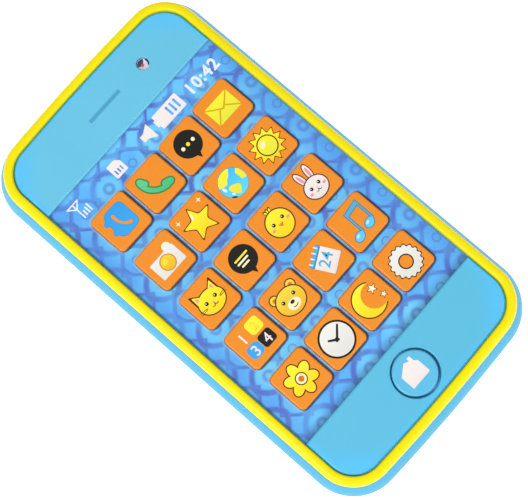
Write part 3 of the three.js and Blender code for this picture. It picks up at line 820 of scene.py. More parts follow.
# each ink's colour at the bottom of a picture, and at its top where that is another one
INK_COLOURS = {
    "white": [(234, 222, 218), (240, 231, 228)],
    "ivory": [(222, 222, 214), (234, 234, 228)],
    "brown": [(70, 30, 14)],
    "yellow": [(252, 214, 30), (254, 236, 52)],
    "gold": [(232, 182, 40), (246, 214, 66)],
    "amber": [(206, 120, 18)],
    "mustard": [(208, 168, 26)],
    "orange": [(250, 140, 44)],
    "green": [(72, 188, 128), (92, 204, 142)],
    "dark_green": [(70, 128, 66)],
    "blue": [(58, 164, 232), (52, 156, 230)],
    "teal": [(62, 140, 182)],
    "sky": [(96, 214, 240), (66, 186, 246)],
    "lime": [(226, 226, 60), (248, 236, 50)],
    "note": [(96, 204, 252), (64, 170, 226)],
    "note_edge": [(44, 116, 160)],
    "pale": [(206, 220, 236), (226, 234, 242)],
    "numeral": [(84, 170, 210)],
    "pink": [(240, 140, 150)],
    "cream": [(250, 236, 190)],
}
INKS = {
    name: ink(f"ink_{name}", *[linear(*colour) for colour in colours])
    for name, colours in INK_COLOURS.items()
}
INKS["black"] = ink("ink_black", (0.009, 0.009, 0.007))

# ---------------------------------------------------------------- printed pictures


class Picture:
    """Flat inks on a surface, in the order they are printed, each a thin solid."""

    def __init__(self, name, place):
        self.name, self.place = name, place
        self.vertices, self.faces, self.inks, self.face_inks = [], [], [], []
        self.layer = 0

    def add(self, colour, vertices, faces):
        """Adds faces in an ink."""
        start = len(self.vertices)
        self.vertices += vertices
        if colour not in self.inks:
            self.inks.append(colour)
        for face in faces:
            self.faces.append(tuple(start + i for i in face))
            self.face_inks.append(self.inks.index(colour))

    def next_top(self):
        """The height of the next ink."""
        self.layer += 1
        return self.layer * INK_STEP

    def paint(self, colour, outline, *holes):
        """A filled outline, with holes."""
        top = self.next_top()
        loops = [self.turned_left(outline)]
        loops += [self.turned_left(hole)[::-1] for hole in holes]
        flat = [point for loop in loops for point in loop]
        count = len(flat)
        vertices = [(x, y, z) for z in (-INK_STEP, top) for x, y in flat]
        faces = []
        for a, b, c in tessellate_polygon([[Vector((*p, 0)) for p in loop] for loop in loops]):
            (ax, ay), (bx, by), (cx, cy) = flat[a], flat[b], flat[c]
            area = (bx - ax) * (cy - ay) - (by - ay) * (cx - ax)
            if area == 0:
                continue
            a, b, c = (a, b, c) if area > 0 else (c, b, a)
            faces += [(count + a, count + b, count + c), (c, b, a)]
        start = 0
        for loop in loops:
            for i in range(len(loop)):
                a, b = start + i, start + (i + 1) % len(loop)
                faces.append((a, b, count + b, count + a))
            start += len(loop)
        self.add(colour, vertices, faces)

    def edged(self, edge, fill, shapes, outer, inner=0.0):
        """Prints shapes(outer) as an edge under shapes(inner), where shapes takes how far its
        outlines are grown."""
        for colour, grow in ((edge, outer), (fill, inner)):
            for shape in shapes(grow):
                self.paint(colour, shape)

    def discs(self, centre, *rings, steps=40):
        """Discs about one centre, each an ink and a radius."""
        for colour, radius in rings:
            self.paint(colour, circle(centre, radius, steps))

    def numerals(self, colour, text, height, centre, turn=0, weight=0.0, spacing=1.0):
        """Plain numerals, as tall as height."""
        font_share = 0.73  # of the font's size, that a numeral is tall
        curve = bpy.data.curves.new("numerals", "FONT")
        curve.body = text
        curve.size = height / font_share
        curve.offset = weight
        curve.align_x = "CENTER"
        curve.space_character = spacing
        curve.resolution_u = 6
        top = self.next_top()
        curve.extrude = top
        writer = bpy.data.objects.new("numerals", curve)
        bpy.context.scene.collection.objects.link(writer)
        graph = bpy.context.evaluated_depsgraph_get()
        mesh = bpy.data.meshes.new_from_object(writer.evaluated_get(graph))
        flat = [(v.co.x, v.co.y - height / 2) for v in mesh.vertices]
        placed = moved(flat, centre, turn)
        vertices = [(x, y, v.co.z) for (x, y), v in zip(placed, mesh.vertices)]
        self.add(colour, vertices, [tuple(p.vertices) for p in mesh.polygons])
        bpy.data.objects.remove(writer)

    @staticmethod
    def turned_left(loop):
        """The loop, anticlockwise."""
        area = sum(
            x0 * y1 - x1 * y0 for (x0, y0), (x1, y1) in zip(loop, list(loop[1:]) + [loop[0]])
        )
        return list(loop) if area > 0 else list(loop)[::-1]

    def finish(self, body):
        """Makes the piece that all the inks are on."""
        piece = new_object(self.name, self.vertices, self.faces, 30, self.place)
        for colour in self.inks:
            piece.data.materials.append(INKS[colour])
        piece.data.polygons.foreach_set("material_index", self.face_inks)
        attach(piece, body)
        return piece


def draw_phone_book(p):
    def shapes(grow):
        tabs = [ellipse((-2.75, y), 0.75 + grow, 0.62 + grow) for y in (1.85, -1.25)]
        cover = round_box(-2.65 - grow, 3.35 + grow, -3.45 - grow, 3.95 + grow,
                          [1.2 + grow, 1.7 + grow, 1.7 + grow, 1.5 + grow])
        return tabs + [cover]

    p.edged("teal", "blue", shapes, 0.2)
    handset = [(-0.55, 2.15, 0.42), (-0.55, 0.9, 0.33), (-0.15, -0.35, 0.3), (0.6, -1.3, 0.33),
               (1.55, -1.85, 0.45)]
    p.paint("teal", ribbon(handset, 0.1))
    p.paint("orange", ribbon(handset))


def draw_handset(p):
    def shapes(grow):
        handle = [(-2.75, 2.0, 0.62), (-2.5, 0.5, 0.62), (-1.6, -0.95, 0.6), (-0.2, -2.05, 0.6),
                  (1.6, -2.65, 0.62)]
        return [
            ribbon(handle, grow),
            ellipse((-2.35, 2.3), 0.95 + grow, 1.35 + grow, 12),
            ellipse((-1.8, 1.7), 0.7 + grow, 0.78 + grow, 0),
            ellipse((2.3, -2.25), 1.45 + grow, 0.95 + grow, -14),
            ellipse((1.6, -1.75), 0.8 + grow, 0.7 + grow, 0),
        ]

    p.edged("dark_green", "green", shapes, 0.36, -0.03)


def draw_bubble(p):
    """A round black speech bubble with its tail, and what it holds is added after."""
    middle, radius, tip_x = 0.35, 3.5, 0.05
    for colour, size, tip_y in (("brown", radius * 1.03, -4.5), ("black", radius, -4.2)):
        p.paint(colour, arc((0, middle), size, -80, 260, 44) + [(tip_x, tip_y)])


def draw_chat(p):
    draw_bubble(p)
    for x, colour in ((-1.7, "cream"), (0, "yellow"), (1.7, "cream")):
        p.paint(colour, circle((x, 0.35), 0.5, 24))


def draw_speech(p):
    draw_bubble(p)
    for colour, start, end, y in (("yellow", -1.9, 1.9, 1.1), ("cream", -1.9, 1.2, 0.1),
                                  ("cream", -1.4, 0.6, -0.9)):
        p.paint(colour, ribbon([(start, y, 0.25), (end, y, 0.25)]))


def draw_mail(p):
    half_x, half_y = 3.75, 2.75
    p.paint("mustard", round_rectangle(half_x + 0.1, half_y + 0.1, 0.4))
    p.paint("lime", round_rectangle(half_x, half_y, 0.35))
    for side in (-1, 1):
        corner_x, corner_y = side * half_x * 0.96, half_y * 0.94
        flap = [(corner_x, corner_y, 0.18), (side * 1.6, 0.9, 0.2), (0, -0.25, 0.22)]
        p.paint("mustard", ribbon(flap))
        p.paint("mustard", ribbon([(corner_x, -corner_y, 0.16), (side * 0.9, 0.05, 0.19)]))


def draw_camera(p):
    p.paint("cream", circle((2.45, 1.95), 1.15))
    p.paint("ivory", round_box(1.5, 3.4, 1.0, 2.6, 0.3))
    p.paint("pale", round_box(-3.8, 3.9, -3.4, 1.55, 0.25))
    p.paint("ivory", round_box(-3.7, 3.8, -3.3, 1.1, 0.2))
    p.discs((0, -0.95), ("amber", 2.1), ("gold", 1.85))
    p.paint("yellow", ellipse((-0.45, -0.4), 0.8, 0.6, 30))


def draw_globe(p):
    centre, radius = (0, 0.1), 3.7
    p.discs(centre, ("teal", radius + 0.15), ("sky", radius))
    north = arc(centre, radius, 62, 158, 16) + [(-2.3, 0.9), (-1.2, 0.75), (-0.6, 1.6), (0.4, 2.0)]
    p.paint("lime", softened(north, 0.35, 3))
    south = [(-1.9, -0.1), (-0.9, 0.1), (0.7, -0.9), (1.0, -1.6), (0.2, -2.4), (-0.6, -3.2),
             (-1.3, -2.2), (-1.9, -1.2)]
    p.paint("lime", softened(south, 0.6, 4))
    east = arc(centre, radius, -22, 34, 10) + [(2.0, 1.3), (2.3, 0.2), (2.1, -0.9)]
    p.paint("lime", softened(east, 0.5, 3))
    p.paint("white", ellipse((-2.75, 0.35), 0.35, 0.75, 10))
    p.paint("white", ellipse((-1.9, -1.9), 0.28, 0.5, 35))
    p.paint("black", ribbon([(-2.85, -2.0, 0.05), (-2.35, -2.6, 0.22), (-1.75, -3.05, 0.05)]))


def draw_star(p):
    p.paint("brown", softened(star((0, -0.25), 4.95, 2.2), 0.7, 5))
    p.paint("yellow", softened(star((0, -0.25), 4.4, 1.95), 0.6, 5))
    p.paint("cream", ribbon([(-0.9, 1.2, 0.12), (-0.45, 2.1, 0.28), (-0.15, 2.75, 0.12)]))
    for x, y in ((-3.9, 3.3), (3.7, 3.7)):
        p.paint("cream", star((x, y), 0.75, 0.25, 4))


def draw_sun(p):
    p.paint("brown", softened(star((0, -0.1), 4.9, 3.3, 12), 0.35, 3))
    p.paint("yellow", softened(star((0, -0.1), 4.5, 3.05, 12), 0.3, 3))
    p.discs((0, -0.1), ("brown", 2.7), ("lime", 2.4))
    p.paint("cream", ellipse((-0.7, 0.75), 0.95, 0.6, 30))


def draw_eyes(p, spread, y, radius):
    """Two plain round eyes with a glint."""
    for side in (-1, 1):
        p.paint("black", circle((side * spread, y), radius, 24))
        p.paint("white", circle((side * spread - 0.12, y + 0.14), radius * 0.33, 12))


def draw_cat(p):
    def head(grow):
        return ellipse((0, -0.7), 3.6 + grow, 2.9 + grow, 0, 48)

    for side in (-1, 1):
        ear = [(side * 3.5845, -0.4), (side * 3.531, 4.05), (side * 0.749, 1.7)]
        p.paint("brown", softened(ear, 0.5))
    p.paint("brown", head(0.28))
    for side in (-1, 1):
        ear = [(side * 3.2, -0.4), (side * 3.05, 3.3), (side * 0.9, 1.5)]
        p.paint("yellow", softened(ear, 0.35))
        p.paint("pink", softened([(side * 2.75, 1.2), (side * 2.7, 2.5), (side * 1.7, 1.7)], 0.2))
    p.paint("yellow", head(0))
    draw_eyes(p, 1.45, -0.3, 0.5)
    p.paint("pink", softened([(-0.4, -1.05), (0.4, -1.05), (0, -1.5)], 0.15))
    for side in (-1, 1):
        mouth = [(0, -1.5, 0.1), (side * 0.3, -2.0, 0.1), (side * 0.9, -1.95, 0.08)]
        p.paint("brown", ribbon(mouth))
        for tilt in (0.35, -0.25):
            whisker = [(side * 2.2, -1.3 + tilt * 0.4, 0.08), (side * 4.2, -1.2 + tilt, 0.05)]
            p.paint("brown", ribbon(whisker))


def draw_chick(p):
    for x, turn in ((-0.55, 25), (0, 0), (0.55, -25)):
        p.paint("brown", ellipse((x, 3.35), 0.42, 0.95, turn))
        p.paint("yellow", ellipse((x, 3.25), 0.24, 0.72, turn))
    p.discs((0, -0.55), ("brown", 3.75), ("yellow", 3.45))
    draw_eyes(p, 1.5, 0.1, 0.48)
    p.paint("amber", softened([(-0.75, -0.75), (0.75, -0.75), (0, -1.75)], 0.2))
    p.paint("orange", softened([(-0.7, -0.7), (0.7, -0.7), (0, -1.15)], 0.15))
    for side in (-1, 1):
        p.paint("pink", ellipse((side * 2.45, -0.95), 0.5, 0.35))


def draw_rabbit(p):
    for side in (-1, 1):
        p.paint("brown", ellipse((side * 1.35, 2.6), 1.0, 2.35, -side * 8))
        p.paint("white", ellipse((side * 1.35, 2.55), 0.76, 2.1, -side * 8))
        p.paint("pink", ellipse((side * 1.35, 2.5), 0.36, 1.45, -side * 8))
    p.paint("brown", ellipse((0, -1.4), 3.4, 2.95, 0, 48))
    p.paint("white", ellipse((0, -1.4), 3.12, 2.67, 0, 48))
    draw_eyes(p, 1.25, -0.95, 0.46)
    p.paint("pink", softened([(-0.35, -1.65), (0.35, -1.65), (0, -2.05)], 0.15))
    for side in (-1, 1):
        mouth = [(0, -2.05, 0.09), (side * 0.28, -2.45, 0.09), (side * 0.75, -2.4, 0.07)]
        p.paint("brown", ribbon(mouth))
        p.paint("pink", ellipse((side * 2.2, -1.95), 0.45, 0.32))


def draw_bear(p):
    for side in (-1, 1):
        p.discs((side * 2.75, 2.3), ("brown", 1.4), ("gold", 1.12))
        p.paint("amber", circle((side * 2.7, 2.2), 0.6))
    p.paint("brown", ellipse((0, -0.5), 4.1, 3.55, 0, 48))
    p.paint("gold", ellipse((0, -0.5), 3.82, 3.27, 0, 48))
    p.paint("cream", ellipse((0, -1.6), 1.75, 1.35))
    draw_eyes(p, 1.75, 0.35, 0.48)
    p.paint("black", ellipse((0, -0.95), 0.6, 0.42))
    p.paint("brown", ribbon([(-0.75, -2.05, 0.09), (0, -2.3, 0.12), (0.75, -2.05, 0.09)]))


def draw_flower(p):
    petals = 6
    for colour, grow in (("brown", 0.28), ("yellow", 0.0)):
        for i in range(petals):
            angle = 360 / petals * i + 30
            centre = moved([(2.45, 0)], (0, -0.1), angle)[0]
            p.paint(colour, ellipse(centre, 1.75 + grow, 1.25 + grow, angle))
    p.discs((0, -0.1), ("brown", 1.55), ("cream", 1.28), ("amber", 0.75))


def draw_moon(p):
    def crescents(grow):
        outer = arc((-0.2, -0.1), 4.1 + grow, 50, 310, 40)
        tip_low, tip_high = Vector(outer[-1]), Vector(outer[0])
        hollow = Vector((1.55, -0.1))
        radius = (tip_high - hollow).length
        start = math.degrees(math.atan2(tip_low.y - hollow.y, tip_low.x - hollow.x)) + 360
        end = math.degrees(math.atan2(tip_high.y - hollow.y, tip_high.x - hollow.x))
        return [outer + arc(hollow, radius - grow * 0.8, start, end, 30)[1:-1]]

    p.edged("brown", "yellow", crescents, 0.3)
    for x, y, size in ((2.3, 1.3, 1.2), (3.2, -1.6, 0.8)):
        p.paint("brown", softened(star((x, y), size + 0.35, size * 0.55), 0.2, 3))
        p.paint("cream", softened(star((x, y), size, size * 0.42), 0.12, 3))


def draw_numbers(p):
    p.numerals("white", "1", 2.9, (-2.15, 2.05), weight=0.02)
    p.paint("lime", round_box(0.1, 4.0, 0.45, 4.1, 0.9))
    p.numerals("gold", "2", 2.3, (2.05, 2.25), weight=0.03)
    p.paint("blue", round_box(-3.95, -0.1, -3.75, -0.2, 1.2))
    p.numerals("white", "3", 2.7, (-2.0, -1.97), weight=0.03)
    p.paint("black", round_box(0.1, 4.0, -3.75, -0.2, 0.8))
    p.numerals("white", "4", 2.7, (2.05, -1.97), weight=0.03)


def draw_calendar(p):
    """A page turned to the left, bound along its top edge."""
    turn = 28
    half_x, half_y = 2.85, 2.8
    middle = (0.4, -0.2)

    def laid(points):
        return moved(points, middle, turn)

    def page(grow, drop=0.0):
        bottom = -half_y - grow - drop
        return laid(round_box(-half_x - grow, half_x + grow, bottom, half_y + grow, 0.3))

    p.paint("amber", page(0.1, 0.35))
    p.paint("pale", page(0, 0.35))
    p.paint("white", page(0))
    p.paint("teal", laid(round_box(-half_x - 0.1, half_x + 0.1, 1.9, 3.1, 0.3)))
    p.paint("numeral", laid(round_box(-half_x + 0.1, half_x - 0.1, 2.3, 3.0, 0.25)))
    for i in range(4):
        x = -2.1 + 1.4 * i
        p.paint("pale", laid(ribbon([(x, 2.6, 0.17), (x, 3.4, 0.17)])))
    p.numerals("numeral", "24", 2.9, laid([(0, 0)])[0], turn, 0.04)


def draw_music(p):
    """Two beamed notes."""
    stems = (-0.84, 3.2)
    heads = ((-2.33, -2.87), (1.77, -2.28))

    def shapes(grow):
        half, (left, right) = 0.3 + grow, stems
        beam = [(left - half, 2.15 - grow), (right + half, 2.8 - grow),
                (right + half, 4.05 + grow), (left - half, 3.4 + grow)]
        posts = [round_box(x - half, x + half, foot, top + grow, 0.1)
                 for x, foot, top in ((left, -2.7, 3.2), (right, -2.1, 3.8))]
        rounds = [ellipse(centre, 1.5 + grow, 1.12 + grow, 16) for centre in heads]
        return [beam] + posts, rounds

    lines, rounds = shapes(0.1)
    for shape in lines + rounds:
        p.paint("note_edge", shape)
    lines, rounds = shapes(-0.1)
    for shape in lines:
        p.paint("numeral", shape)
    for shape in rounds:
        p.paint("note", shape)
    for x, y in heads:
        p.paint("pale", ellipse((x - 0.3, y + 0.35), 0.55, 0.3, 20))


def draw_clock(p):
    x, y = centre = (0.16, -0.33)
    p.discs(centre, ("black", 4.58), ("ivory", 4.08), steps=56)
    p.paint("black", ribbon([(x + 0.2, y - 0.3, 0.32), (x - 1.65, y + 1.15, 0.26)]))
    p.paint("black", ribbon([(x - 0.3, y - 0.3, 0.3), (x + 2.6, y + 2.25, 0.25)]))
    p.paint("black", circle(centre, 0.5))


def draw_settings(p):
    """A gear wheel with small round teeth."""
    hub = (0.2, -0.6)

    def gear(grow):
        teeth, steps, middle, rise = 16, 160, 3.82, 0.22
        outline = []
        for i in range(steps):
            angle = math.tau * i / steps
            radius = middle + rise * math.tanh(2.2 * math.sin(teeth * angle)) + grow
            outline.append((hub[0] + radius * math.cos(angle), hub[1] + radius * math.sin(angle)))
        return outline

    p.paint("black", gear(0.28), circle(hub, 1.55))
    p.paint("ivory", gear(0), circle(hub, 1.87))


KEY_PICTURES = {
    "phone_book": draw_phone_book, "handset": draw_handset, "chat": draw_chat, "mail": draw_mail,
    "camera": draw_camera, "star": draw_star, "globe": draw_globe, "sun": draw_sun,
    "cat": draw_cat, "speech": draw_speech, "chick": draw_chick, "rabbit": draw_rabbit,
    "numbers": draw_numbers, "bear": draw_bear, "calendar": draw_calendar, "music": draw_music,
    "flower": draw_flower, "clock": draw_clock, "moon": draw_moon, "settings": draw_settings,
}


def draw_home(p):
    """A plain house with a chimney."""
    house = [(-3.0, -2.25), (2.7, -2.25), (2.7, 1.5), (2.0, 2.1), (2.0, 3.6), (1.1, 3.6),
             (1.1, 2.75), (-0.15, 3.45), (-3.0, 1.55)]
    p.paint("white", softened(house, 0.16, 3))


def draw_status_bar(p):
    """Antenna with signal bars, memory card, loudspeaker, battery and the time."""
    y = 36.5
    mast, top, bottom = -23.35, 38.6, 34.2
    strokes = [[(mast, 36.9, 0.17), (end, top, 0.17)] for end in (mast - 1.75, mast + 1.75)]
    strokes.append([(mast - 1.7, top, 0.17), (mast + 1.7, top, 0.17)])
    strokes.append([(mast, top, 0.17), (mast, bottom, 0.19)])
    for stroke in strokes:
        p.paint("pale", ribbon(stroke))
    for i, height in enumerate((1.6, 1.9, 2.3)):
        x = mast + 0.68 + 0.83 * i
        p.paint("pale", round_box(x, x + 0.45, bottom, bottom + height, 0.05, 1))
    card = [(-11.2, 34.5), (-7.5, 34.5), (-7.5, 37.45), (-8.55, 38.55), (-11.2, 38.55)]
    slots = [round_box(x, x + 0.42, 35.2, 36.5, 0.08, 2) for x in (-10.5, -9.6, -8.7)]
    p.paint("white", softened(card, 0.3, 3), *slots)
    horn = [(-0.25, y - 0.9), (1.05, y - 0.9), (3.2, y - 2.25), (3.2, y + 2.25), (1.05, y + 0.9),
            (-0.25, y + 0.9)]
    p.paint("white", softened(horn, 0.15, 2))
    bars = [round_box(x, x + 0.65, y - 1.35, y + 1.35, 0.1, 2) for x in (9.15, 10.5, 11.85)]
    p.paint("white", round_box(5.3, 13.6, y - 2.17, y + 2.17, 0.35), *bars)
    p.paint("white", round_box(4.75, 5.4, y - 1.0, y + 1.0, 0.2, 3))
    p.numerals("pale", "10:42", 3.15, (21.1, y - 0.1), weight=0.13, spacing=1.12)


# ---------------------------------------------------------------- casing


def shell_levels():
    """Levels of the tub, up its outside from the back to the rim and down its inside."""
    bulge_steps, side_steps = 14, 10
    levels = []
    for i in range(bulge_steps + 1):
        angle = math.pi / 2 * i / bulge_steps
        inset = BACK_FLAT_INSET * (1 - math.sin(angle))
        height = BULGE_HEIGHT * (1 - math.cos(angle))
        levels.append((casing_outline(inset, END_BULGE * math.sin(angle)), height))
    rim_inset = RING_INSET - 0.15
    for i in range(1, side_steps + 1):
        lean = (i / side_steps) ** 1.35
        height = BULGE_HEIGHT + (RIM_Z - BULGE_HEIGHT) * i / side_steps
        levels.append((casing_outline(rim_inset * lean, END_BULGE * (1 - lean)), height))
    inside = ((CAVITY_INSET, RIM_Z), (CAVITY_INSET, 4.5), (CAVITY_FLOOR_INSET, BACK_WALL))
    return levels + [(casing_outline(inset), height) for inset, height in inside]


def cover_opening():
    """Half the width of the battery cover's opening, and its lower and upper end."""
    gap = 0.25
    low, high = node_box("battery_cover")
    return high.x + gap, low.y + COVER_TAB_REACH - gap, high.y + gap


def build_battery_box(shell):
    """The box for three cells behind the cover, with the speaker's seat and the screw pillars."""
    x, y0, y1 = cover_opening()
    wall, roof, ceiling, cradle_half = 1.2, 0.7, 8.0, 7.4
    seat_top, seat_wall, seat_gap = 4.2, 1.6, 0.4
    pillar_top, pillar_radius = 6.1, 3.2
    boss_foot, boss_radius = 3.4, 2.7
    tab_slot_half, tab_slot_top = 2.6, 4.2
    cells = [node_centre(f"button_cell_{side}") for side in ("left", "middle", "right")]
    cell_radius = node_extent("button_cell_left")[3]
    middle = cells[0].y
    screw = node_centre("battery_cover_screw")
    _, _, speaker, speaker_radius = node_extent("speaker_frame")

    outer = block((-x - wall, y0 - wall, 1), (x + wall, y1 + wall, ceiling + roof))
    seat = rod(speaker.x, speaker.y, 1.5, seat_top, speaker_radius + seat_wall, 64)
    combine(shell, "UNION", outer, seat, rods(CASE_SCREWS, 1, pillar_top, pillar_radius))
    well = rod(speaker.x, speaker.y, BACK_WALL, 5, speaker_radius + seat_gap, 64)
    combine(shell, "DIFFERENCE", block((-x, y0, 0.5), (x, y1, ceiling)), well)
    cradle = block((-x - 0.5, middle - cradle_half, BACK_WALL),
                   (x + 0.5, middle + cradle_half, ceiling + 0.2))
    boss = rod(screw.x, screw.y, boss_foot, ceiling + 0.3, boss_radius)
    combine(shell, "UNION", cradle, boss)

    strip_low, strip_high = node_box("contact_bridge_upper")
    groove_half = (strip_high.y - strip_low.y) / 2 + 0.5
    grooves = [((-x - wall - 1, 7.4), (x + wall + 1, ceiling), groove_half),
               ((cells[0].x, 1.3), (cells[1].x, 2.3), groove_half),
               ((cells[2].x + 5, 1.3), (x - 0.3, ceiling), 2.4)]
    cutters = [rods(cells, 1, ceiling, cell_radius + 0.3, 64)]
    for (x_start, z_start), (x_end, z_end), half in grooves:
        cutters.append(block((x_start, middle - half, z_start), (x_end, middle + half, z_end)))
    tab_slots = []
    for tab_x in (-COVER_TAB_X, COVER_TAB_X):
        tab_slots.append(block((tab_x - tab_slot_half, y0 - wall - 1, BACK_WALL),
                               (tab_x + tab_slot_half, y0 + 1, tab_slot_top)))
    thread = rod(screw.x, screw.y, 3, 6.4, SCREW_BORE)
    combine(shell, "DIFFERENCE", *cutters, merged(*tab_slots), thread)


def cut_back(shell):
    """The openings in the back: battery cover, speaker grille, screw bores and switch dish."""
    x, y0, y1 = cover_opening()
    speaker = node_centre("speaker_frame")
    sound_hole, head_bore, shank_bore = 0.9, 2.4, 1.45  # radii

    def opening(grow):
        return round_box(-x - grow, x + grow, y0 - grow, y1 + grow, 0.8 + grow, 4)

    def dish(grow):
        return round_rectangle(7 + grow, 3.4 + grow, 3.0 + grow, 10)

    holes = [(speaker.x, speaker.y)]
    for ring_radius, count in ((4.2, 6), (8.4, 12)):
        holes += [(speaker.x + px, speaker.y + py) for px, py in circle((0, 0), ring_radius, count)]
    combine(
        shell, "DIFFERENCE",
        edge_cutter(opening, 0, BACK_WALL, 0.25),
        merged(*[hole_cutter(hole, sound_hole, 0, BACK_WALL + 1, 0.2, 32) for hole in holes]),
        merged(*[hole_cutter(screw, head_bore, 0, 3, 0.3, 32) for screw in CASE_SCREWS]),
        rods(CASE_SCREWS, 2.9, 7, shank_bore),
        edge_cutter(dish, 0, 0.8, 0.3),
        block((-5.2, -2, 0.5), (5.2, 2, BACK_WALL + 1)),
    )


def make_rear_shell():
    """The tub of the casing, with the battery box inside it."""
    shell = new_object("rear_casing", *loft(shell_levels()))
    build_battery_box(shell)
    cut_back(shell)
    return even_normals(shell)


def shoulder(side, crest, drop, fullness):
    """Points from a side of the ring up to its crest, on a quarter of a superellipse."""
    steps = 12
    points = []
    for i in range(steps + 1):
        angle = math.pi / 2 * i / steps
        inset = crest + (side - crest) * math.cos(angle) ** fullness
        points.append((inset, RING_TOP - drop * (1 - math.sin(angle) ** fullness)))
    return points


def make_ring():
    """The yellow ring: round on top, with a tongue and a ledge below."""
    outer, inner = RING_INSET, RING_INSET + RING_WIDTH
    crest = outer + 1.5
    section = [(outer, RIM_Z + 0.1)]
    section += shoulder(outer, crest, 2.2, 0.85)
    section += reversed(shoulder(inner, crest, 0.9, 0.6))
    tongue_outer, tongue_inner, tongue_end = CAVITY_INSET + 0.2, 5.4, 10.4
    ledge_inner, ledge_low, ledge_high = 6.0, 12.0, 13.0
    section += [(inner, ledge_high), (ledge_inner, ledge_high), (ledge_inner, ledge_low),
                (tongue_inner, ledge_low), (tongue_inner, tongue_end),
                (tongue_outer, tongue_end), (tongue_outer, RIM_Z + 0.1)]
    levels = [(casing_outline(inset, steps=RING_CORNER_STEPS), z) for inset, z in section]
    return even_normals(new_object("trim_ring", *loft(levels, endless=True), crease=40))


def key_holes(half, z0, z1):
    """Cutters for a hole round every key."""
    holes = []
    for node in KEY_NODES:
        outline = round_rectangle(half, half, KEY_CORNER + HOLE_GAP, 6, node_centre(node)[:2])
        holes.append(prism(outline, z0, z1))
    return merged(*holes)


def earpiece_outline(grow, corner):
    half_length, half_width = EARPIECE["half_length"] + grow, EARPIECE["half_width"] + grow
    return round_rectangle(half_length, half_width, corner, 6, (0, EARPIECE["y"]))


def make_fascia():
    """A plate with a recess for the screen, and holes for the keys, home button and lamp."""
    lip_outline, lip_drop = casing_outline(RING_INSET + RING_WIDTH + 0.06), 0.72
    levels = [(lip_outline, FASCIA_BOTTOM), (lip_outline, PANEL_TOP - lip_drop)]
    for inset, drop in quarter_round(PANEL_FILLET, 6):
        levels.append((casing_outline(FASCIA_INSET + inset), PANEL_TOP - drop))
    fascia = new_object("face_plate", *loft(levels))
    case_pillar_foot, case_pillar_radius = 6.3, 2.6
    board_pillar_foot, board_pillar_radius = 10, 1.9
    pillar_top = FASCIA_BOTTOM + 0.3
    case_pillars = rods(CASE_SCREWS, case_pillar_foot, pillar_top, case_pillar_radius)
    board_pillars = rods(BOARD_SCREWS, board_pillar_foot, pillar_top, board_pillar_radius)
    combine(fascia, "UNION", merged(case_pillars, board_pillars))

    def recess(grow):
        x, y = CASE_HALF_WIDTH, SCREEN_HALF_LENGTH + grow
        return [(-x, -y), (x, -y), (x, y), (-x, y)]

    def slot(grow):
        return earpiece_outline(grow, EARPIECE["corner"] + grow)

    home, lamp = node_centre("home_button"), node_centre("indicator_led")
    home_hole = (home.x + HOME_HOLE_SHIFT, home.y - HOME_HOLE_SHIFT)
    below = FASCIA_BOTTOM - 1
    combine(
        fascia, "DIFFERENCE",
        edge_cutter(recess, PANEL_TOP, SCREEN_FLOOR, STEP_FILLET),
        key_holes(KEY_HALF + HOLE_GAP, below, SCREEN_FLOOR + 0.3),
        hole_cutter(home_hole, HOME_HOLE_RADIUS, PANEL_TOP, below, 0.3, 96),
        hole_cutter(lamp, LAMP_HOLE_RADIUS, PANEL_TOP, below, 0.15, 64),
        edge_cutter(slot, PANEL_TOP, PANEL_TOP - EARPIECE["depth"], 0.04),
        merged(rods(CASE_SCREWS, case_pillar_foot - 0.3, 11.5, SCREW_BORE),
               rods(BOARD_SCREWS, board_pillar_foot - 1, 12.7, BOARD_SCREW_BORE)),
    )
    return even_normals(fascia)


def make_earpiece():
    """The insert in the earpiece slot, with a row of small sound holes. Its darker blue is painted
    shade of the slot.
    """
    fit, hole_pitch, hole_radius, holes_each_side = 0.005, 0.4, 0.08, 12
    plate = earpiece_outline(-fit, EARPIECE["corner"])
    insert = new_object("earpiece_insert", *prism(plate, PANEL_TOP - 0.7, PANEL_TOP - 0.07))
    holes = []
    for i in range(-holes_each_side, holes_each_side + 1):
        x, y = hole_pitch * i, EARPIECE["y"]
        holes.append(rod(x, y, PANEL_TOP - 0.4, PANEL_TOP, hole_radius, 12))
    return combine(insert, "DIFFERENCE", merged(*holes))


def make_screen():
    """The printed film in the recess, with a hole round each key."""
    low, high = node_box("screen_label")
    film = round_rectangle(HALF_FACE, SCREEN_HALF_LENGTH - 0.02, 0.1, 3)
    screen = new_object("screen_film", *prism(film, low.z, high.z))
    holes = key_holes(KEY_HALF + HOLE_GAP + 0.05, low.z - 1, high.z + 1)
    return combine(screen, "DIFFERENCE", holes)


# ---------------------------------------------------------------- keys


def key_levels(node):
    """Levels of one key about its own centre: a flange, then a cap with a rounded top edge."""
    low, high = node_box(node)
    height = high.z - low.z
    flange = round_rectangle((high.x - low.x) / 2, (high.y - low.y) / 2, KEY_CORNER)
    levels = [(flange, 0), (flange, FLANGE_THICKNESS),
              (round_rectangle(KEY_HALF, KEY_HALF, KEY_CORNER), FLANGE_THICKNESS)]
    for inset, drop in quarter_round(KEY_FILLET):
        outline = round_rectangle(KEY_HALF - inset, KEY_HALF - inset, KEY_CORNER - inset * 0.9)
        levels.append((outline, height - drop))
    return levels


def make_keys():
    """Every key rides on its own body, and its picture rides with it."""
    for node in KEY_NODES:
        low, high, centre, _ = node_extent(node)
        icon = node.removeprefix("key_")
        cap = new_object(f"cap_{icon}", *loft(key_levels(node)), place=(centre.x, centre.y, low.z))
        even_normals(cap)
        finish_piece(cap, node, "key", "orange_key", node)
        picture = Picture(f"print_{icon}", (centre.x, centre.y, high.z))
        KEY_PICTURES[icon](picture)
        picture.finish(node)


